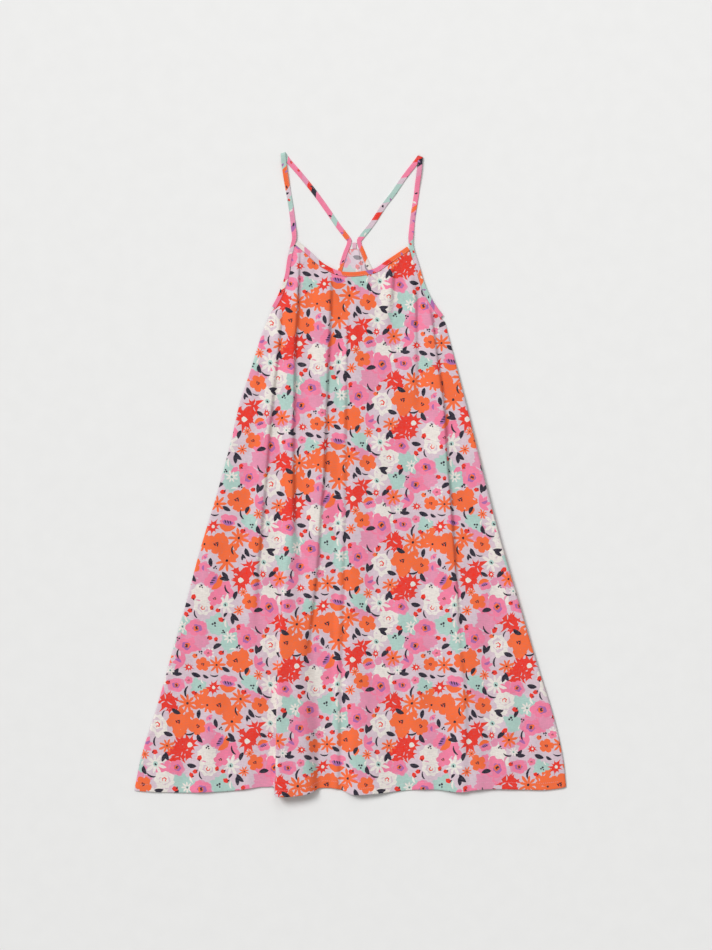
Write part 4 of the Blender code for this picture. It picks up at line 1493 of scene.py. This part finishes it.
# %% Ink on a strip
STRIP_MARKS = [
    ("leaf", "navy", 5.0), ("leaf", "navy", 4.0), ("bud", "red", 2.2),
    ("dots", "navy", 5.0), ("leaf", "cream", 4.4), ("leaf", "purple", 4.4),
]
MARK_SHARES = (0.14, 0.25, 0.38, 0.62, 0.75, 0.88)  # how far round the strip a mark may lie
MARK_WOBBLE = 0.8
MARK_GAP = (7.0, 17.0)  # least and most between one mark and the next
FIRST_MARK = 6.0
FIRST_PATCH = 9.0  # the first patch starts this far before the strip
PATCH_SLANT = 0.9
PATCH_WOBBLE = 0.7
PATCH_PAST = 2.0  # patches run this far past the strip's edges
PATCH_END = 60.0  # and this far past its end


def patches(runs, way_round, seed):
    """Slanting patches of ink for a strip cut on the bias, from rows of (ink, length), and small marks."""
    rng = random.Random(seed)
    total = sum(length for _ink, length in runs)
    start = 0.0
    shapes = []
    for ink, length in runs:
        border = []
        for share in np.linspace(0.0, 1.0, 9):
            u = share * (way_round + 2 * PATCH_PAST) - PATCH_PAST
            slant = PATCH_SLANT * (u - way_round / 2)
            border.append((u, start - FIRST_PATCH + slant + rng.uniform(-PATCH_WOBBLE, PATCH_WOBBLE)))
        ends = [(way_round + PATCH_PAST, total + PATCH_END), (-PATCH_PAST, total + PATCH_END)]
        shapes.append((ink, np.array(border + ends)))
        start += length
    down = FIRST_MARK
    while down < total:
        kind, ink, size = rng.choice(STRIP_MARKS)
        u = rng.choice(MARK_SHARES) * way_round + rng.uniform(-MARK_WOBBLE, MARK_WOBBLE)
        for part_ink, outline in KINDS[kind](rng, ink, size):
            shapes.append((part_ink, moved(outline, u, down, rng.uniform(0, 360))))
        down += rng.uniform(*MARK_GAP)
    return shapes


# %% A closed band
BAND_STEP = 3.0
BAND_PROBE = 0.08  # step for measuring which way a band faces
AT_EDGE = 1e-3


def band(name, rows, width, runs, seed, materials):
    """A closed band of printed cloth that meets itself at one edge."""
    place, length, far = strip_place(rows, width)
    way_round = far[-1]
    ends = np.arange(0.0, length, BAND_STEP)[1:]
    across = far[1:-1]

    def border(stops):
        return np.vstack([
            [(0.0, 0.0)], np.column_stack([across, across * 0.0]), [(way_round, 0.0)],
            np.column_stack([np.full(len(stops), way_round), stops]),
            [(way_round, length)], np.column_stack([across[::-1], across * 0.0 + length]), [(0.0, length)],
            np.column_stack([np.zeros(len(stops)), stops[::-1]]),
        ])

    flat, triangles, inks = print_on_flat(border(ends), patches(runs, way_round, seed))
    at_seam = (flat[:, 0] < AT_EDGE) | (flat[:, 0] > way_round - AT_EDGE)
    flat[at_seam, 1] = np.round(flat[at_seam, 1], 2)
    stops = np.unique(np.concatenate([ends, flat[at_seam, 1]]))
    stops = stops[(stops > 0.01) & (stops < length - 0.01)]
    outline = border(stops)
    lines = [np.column_stack([np.full(len(ends), stop), ends]) for stop in across]
    flat, triangles, inks = cut_cloth(outline, (flat, triangles, inks), lines, np.zeros((0, 2)))
    points, normal = on_the_dress(flat, place, -1, BAND_PROBE)
    points[:, 2] = np.maximum(points[:, 2], 0.0)
    partner = np.arange(len(flat))
    first, last = (np.flatnonzero(np.abs(flat[:, 0] - u) < AT_EDGE) for u in (0.0, way_round))
    first, last = (row[np.argsort(flat[row, 1])] for row in (first, last))
    if len(first) == len(last):
        partner[last] = first
    caps = []
    for at_end, step in ((0.0, -1), (length, 1)):
        ring = np.flatnonzero(np.abs(flat[:, 1] - at_end) < AT_EDGE)
        ring = ring[np.argsort(flat[ring, 0])]
        caps.append(ring[::step])
    corner_flats = flat[np.concatenate([triangles.ravel(), *[cap[:-1] for cap in caps]])]
    used_points, numbered = np.unique(partner[triangles], return_inverse=True)
    number = np.zeros(len(flat), int)
    number[used_points] = np.arange(len(used_points))
    faces = numbered.reshape(-1, 3).tolist() + [number[partner[cap[:-1]]].tolist() for cap in caps]
    piece = cloth_mesh(
        name, to_world(*points.T)[used_points], normal[used_points], faces, inks + ["ground"] * 2,
        corner_flats, materials,
    )
    print(name, "is", round(length), "mm long and has", len(faces), "faces and", len(first), "seam points")
    return piece, place, length, width


# %% Straps with their armhole bindings
STRIP_RUNS = {
    "left": [
        ("pink", 30), ("red", 9), ("cream", 12), ("pink", 36), ("ground", 10), ("pink", 22), ("purple", 8),
        ("rosy", 20), ("mint", 16), ("ground", 12), ("orange", 28), ("mint", 24), ("pink", 30),
        ("rosy", 12),
        ("red", 9), ("navy", 9), ("pink", 36), ("mint", 12), ("pink", 14), ("orange", 12),
        ("pink", 34), ("orange", 14),
        ("cream", 14), ("pink", 30), ("mint", 22), ("red", 12), ("orange", 24), ("pink", 30),
    ],
    "right": [
        ("red", 8), ("pink", 20), ("purple", 9), ("mint", 26), ("orange", 16), ("ground", 22), ("mint", 20),
        ("pink", 24), ("rosy", 16), ("orange", 7), ("pink", 40), ("rosy", 14), ("navy", 9), ("red", 10),
        ("pink", 26), ("ground", 10), ("mint", 30), ("ground", 16), ("red", 12), ("ground", 14),
        ("mint", 14),
        ("pink", 16), ("orange", 18), ("cream", 16), ("pink", 32), ("mint", 24), ("orange", 26),
        ("pink", 60),
    ],
}
strips = {}
for seed, side in enumerate(("left", "right")):
    rows, runs = shoulder_strip(side), STRIP_RUNS[side]
    strips[side] = band(f"{side}_strap_and_bindings", rows, STRAP_WIDTH, runs, seed, [RIGHT_SIDE_CLOTH])
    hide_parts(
        f"{side}_strap", f"{side}_front_armhole_binding", f"{side}_back_armhole_binding"
    )

# %% Neck binding and the tongue's top
NECK_RUNS = [
    ("cream", 26), ("rosy", 10), ("ground", 16), ("red", 22), ("pink", 12), ("orange", 34), ("purple", 9),
    ("pink", 16), ("red", 10), ("orange", 40),
]
TAB_HEIGHT = TONGUE_TOP - 0.3 - TAB_TOP


def neck_rows():
    path = smooth_path(NECK_LINE, STRIP_STEP)
    heights = np.full(len(path), FRONT_BASE + STRIP_THICK / 2)
    middle, half, lift = strip_line(path, heights, np.full(len(path), NECK_BINDING), -1)
    pucker = 0.06 * np.sin(walked(path) / 1.9) + 0.05 * np.sin(walked(path) / 4.3)
    return middle + np.column_stack([np.zeros((len(path), 2)), pucker]), half, lift


def tab_rows():
    path = np.column_stack([np.linspace(3.0, 8.0, 5), np.full(5, TAB_TOP + TAB_HEIGHT / 2)])
    return strip_line(path, np.full(5, STRIP_THICK / 2), np.full(5, TAB_HEIGHT), -1)


neck = band("neck_edge_binding", neck_rows(), NECK_BINDING, NECK_RUNS, 5, [RIGHT_SIDE_CLOTH])
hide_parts("neck_binding")
tab = band("tongue_tab", tab_rows(), TAB_HEIGHT, [("rosy", 30)], 9, [WRONG_SIDE_CLOTH])
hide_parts("back_neck_tab")

# %% [markdown]
# Sewing is what makes cloth a garment: a line of lockstitch near the edge of every binding, and one that
# holds the turned hem. Each stitch is a short spindle of thread that dips at both ends. A curve with a dash
# would do from afar, but separate stitches cast their own small shadows.


# %% Thread
def thread_material():
    thread = Finish("Sewing thread", Roughness=0.5, Sheen_Weight=0.2)
    coordinates = thread.nodes.new("ShaderNodeTexCoord")
    twist = thread.noise(coordinates.outputs["Object"], (2600.0, 900.0, 2600.0), 1.0)
    share = thread.between(twist, 0.0, 1.0)
    thread.dress("Base Color", thread.mixed(share, (0.62, 0.42, 0.52, 1.0), (0.82, 0.66, 0.74, 1.0)))
    thread.raised(twist, 0.3, 0.0001)
    return thread.material


THREAD = thread_material()
STITCH_PITCH = 2.7
STITCH_LENGTH = 2.0
THREAD_RADIUS = 0.12
THREAD_SIDES = 6
PRESSED_FLAT = 0.02  # thread between the cloth and the surface is pressed flat
# Rows: place along half a stitch, share of the thread's radius, rise in radii.
SPINDLE = [(-1.0, 0.35, -0.9), (-0.72, 0.9, -0.1), (0.0, 1.0, 0.25), (0.72, 0.9, -0.1), (1.0, 0.35, -0.9)]


def stitch_row(name, flat_line, place, side, above):
    """Stitches along a line of the flat cloth, lying on its outer face."""
    far = walked(flat_line)
    starts = np.arange(STITCH_PITCH / 2, far[-1] - STITCH_PITCH / 2, STITCH_PITCH)
    flat = np.column_stack([np.interp(starts, far, flat_line[:, k]) for k in (0, 1)])
    ahead = np.column_stack([np.interp(starts + 0.5, far, flat_line[:, k]) for k in (0, 1)])
    middle, normal = on_the_dress(flat, place, side)
    frame_middle = to_world(*middle.T)
    along = unit(to_world(*place(ahead).T) - frame_middle)
    across = np.cross(normal, along)
    points, faces = [], []
    for centre, way, up, out in zip(frame_middle, along, normal, across):
        first = len(points)
        for share, width, rise in SPINDLE:
            ring = centre + way * share * STITCH_LENGTH / 2 * MM + up * (above + rise * THREAD_RADIUS) * MM
            for turn in np.arange(THREAD_SIDES) * 2 * math.pi / THREAD_SIDES:
                spread = math.cos(turn) * out + math.sin(turn) * up
                point = ring + spread * width * THREAD_RADIUS * MM
                points.append((point[0], point[1], max(point[2], PRESSED_FLAT * MM)))
        for ring in range(first, len(points) - THREAD_SIDES, THREAD_SIDES):
            for k in range(THREAD_SIDES):
                a, b = ring + k, ring + (k + 1) % THREAD_SIDES
                faces.append((b, b + THREAD_SIDES, a + THREAD_SIDES, a))
        faces.append(tuple(reversed(range(first, first + THREAD_SIDES))))
        faces.append(tuple(range(len(points) - THREAD_SIDES, len(points))))
    mesh = bpy.data.meshes.new(name)
    mesh.from_pydata(points, [], faces)
    mesh.shade_smooth()
    mesh.materials.append(THREAD)
    print(name, "has", len(starts), "stitches")
    return placed(name, mesh)


# %% Rows of stitches
HEM_STITCH_UP = 8.6
HEM_STITCH_END = 278.0


def hem_stitches(name, hem, to_flat, place, side):
    across = np.arange(-HEM_STITCH_END, HEM_STITCH_END, 2.0)
    down = hem(across) - HEM_STITCH_UP
    line = np.column_stack([to_flat(across, down), down])
    return stitch_row(name, line, place, side, CLOTH_THICKNESS / 2)


def strip_stitches(name, made, to_right, upper):
    """Stitches along one edge of a strip, on its outer or its inner face."""
    _piece, place, length, width = made
    u = way_to_row(width, to_right, upper)
    down = np.arange(2.0, length - 2.0, 2.0)
    return stitch_row(name, np.column_stack([np.full(len(down), u), down]), place, -1, 0.0)


hem_rows = [
    hem_stitches("front_hem_stitches", front_hem, front_flat, front_place, 1),
    hem_stitches("back_hem_stitches", back_hem, back_flat, back_place, -1),
]
edge_rows = [
    strip_stitches(f"{name}_{face}", made, to_right, upper)
    for name, made, to_right in (
        ("left_strip_stitches", strips["left"], -1),
        ("right_strip_stitches", strips["right"], 1),
        ("neck_stitches", neck, -1),
    )
    for face, upper in (("outside", 1), ("inside", -1))
]

# %% [markdown]
# Cloth has no joints, so every piece rides on the one body. The cut of each panel is worked out too: the
# size of the flat piece that a cutter would lay on the table, with its hem allowance.


# %% Everything rides on the one body
def flat_area(cut):
    flat, triangles, _inks = cut
    a, b, c = (flat[triangles[:, k]] for k in range(3))
    return float(np.abs(np.cross(b - a, c - a)).sum()) / 2 * MM * MM


for piece, slot_name in (
    (front, "print_front"), (back, "print_back"), (strips["left"][0], "print_strip"),
    (strips["right"][0], "print_strip"), (neck[0], "print_strip"), (tab[0], "print_strip"),
    *[(row, "print_strip") for row in hem_rows + edge_rows],
):
    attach(piece, "root")
for piece, cut, rests_on, extra in (
    (front, front_outside, ("back_cloth",), [neck[0], hem_rows[0], *edge_rows[-2:]]),
    (back, back_outside, ("floor",), [tab[0], hem_rows[1]]),
):
    low, high = cut[0].min(0) * MM, cut[0].max(0) * MM
    area = round(flat_area(cut), 4)
    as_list(rests_on)
    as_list(extra)


# %% [markdown]
# The dress was photographed from straight above on a pale sweep, in broad soft light from the upper left.
# A long lens keeps the flat shape true. A far window, soft at its edges, gives the folds their shade; a
# large lamp above and a pale world fill in from all round.

# %% Floor, light and camera
CAMERA_PLACE = (0.0078, -0.0022)
FRAME_HEIGHT = 1.2588  # what the picture's long side covers on the floor
LENS = 85.0
SENSOR = 36.0


FLOOR_HALF = 3.0


def floor_material():
    sweep = Finish("Pale sweep", Roughness=0.9, Specular_IOR_Level=0.1)
    coordinates = sweep.nodes.new("ShaderNodeTexCoord")
    grain = sweep.noise(coordinates.outputs["Object"], (40.0, 40.0, 40.0), 3.0)
    sweep.dress("Base Color", sweep.grey(sweep.between(grain, 0.80, 0.815)))
    return sweep.material


def add_floor():
    sheet = bmesh.new()
    bmesh.ops.create_grid(sheet, x_segments=8, y_segments=8, size=FLOOR_HALF)
    mesh = bpy.data.meshes.new("floor")
    sheet.to_mesh(mesh)
    sheet.free()
    mesh.materials.append(floor_material())
    floor = placed("floor", mesh)
    floor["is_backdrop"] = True


def add_light(name, kind, place, power, **settings):
    """A light that shines from a place toward the middle of the dress."""
    lamp = bpy.data.lights.new(name, kind)
    lamp.energy = power
    for setting, value in settings.items():
        setattr(lamp, setting, value)
    holder = placed(name, lamp)
    holder.location = place
    holder.rotation_euler = (-Vector(place)).to_track_quat("-Z", "Y").to_euler()


add_floor()
add_light("window", "SUN", (-0.9, 0.85, 1.25), 2.1, angle=math.radians(24.0))
add_light("top fill", "AREA", (0.1, 1.9, 2.4), 14.0, shape="DISK", size=1.6)
world = bpy.data.worlds.new("studio")
world.use_nodes = True
air = world.node_tree.nodes["Background"].inputs
air["Color"].default_value = (1.0, 0.995, 0.97, 1.0)
air["Strength"].default_value = 0.44
bpy.context.scene.world = world
bpy.context.scene.view_settings.view_transform = "Standard"

camera = bpy.data.cameras.new("camera")
camera.lens = LENS
camera.sensor_width = SENSOR
camera.clip_start = 0.05
camera.clip_end = 20.0
eye = placed("camera", camera)
eye.location = (*CAMERA_PLACE, FRAME_HEIGHT * LENS / SENSOR)
bpy.context.scene.camera = eye
print("camera is", round(eye.location.z, 3), "m above the floor")

# %% Finish
low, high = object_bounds()
{"cad": [list(cad_low), list(cad_high)], "visual": [list(low), list(high)]}
print("visual box in mm:", [round(1000 * x, 1) for x in (*low, *high)])
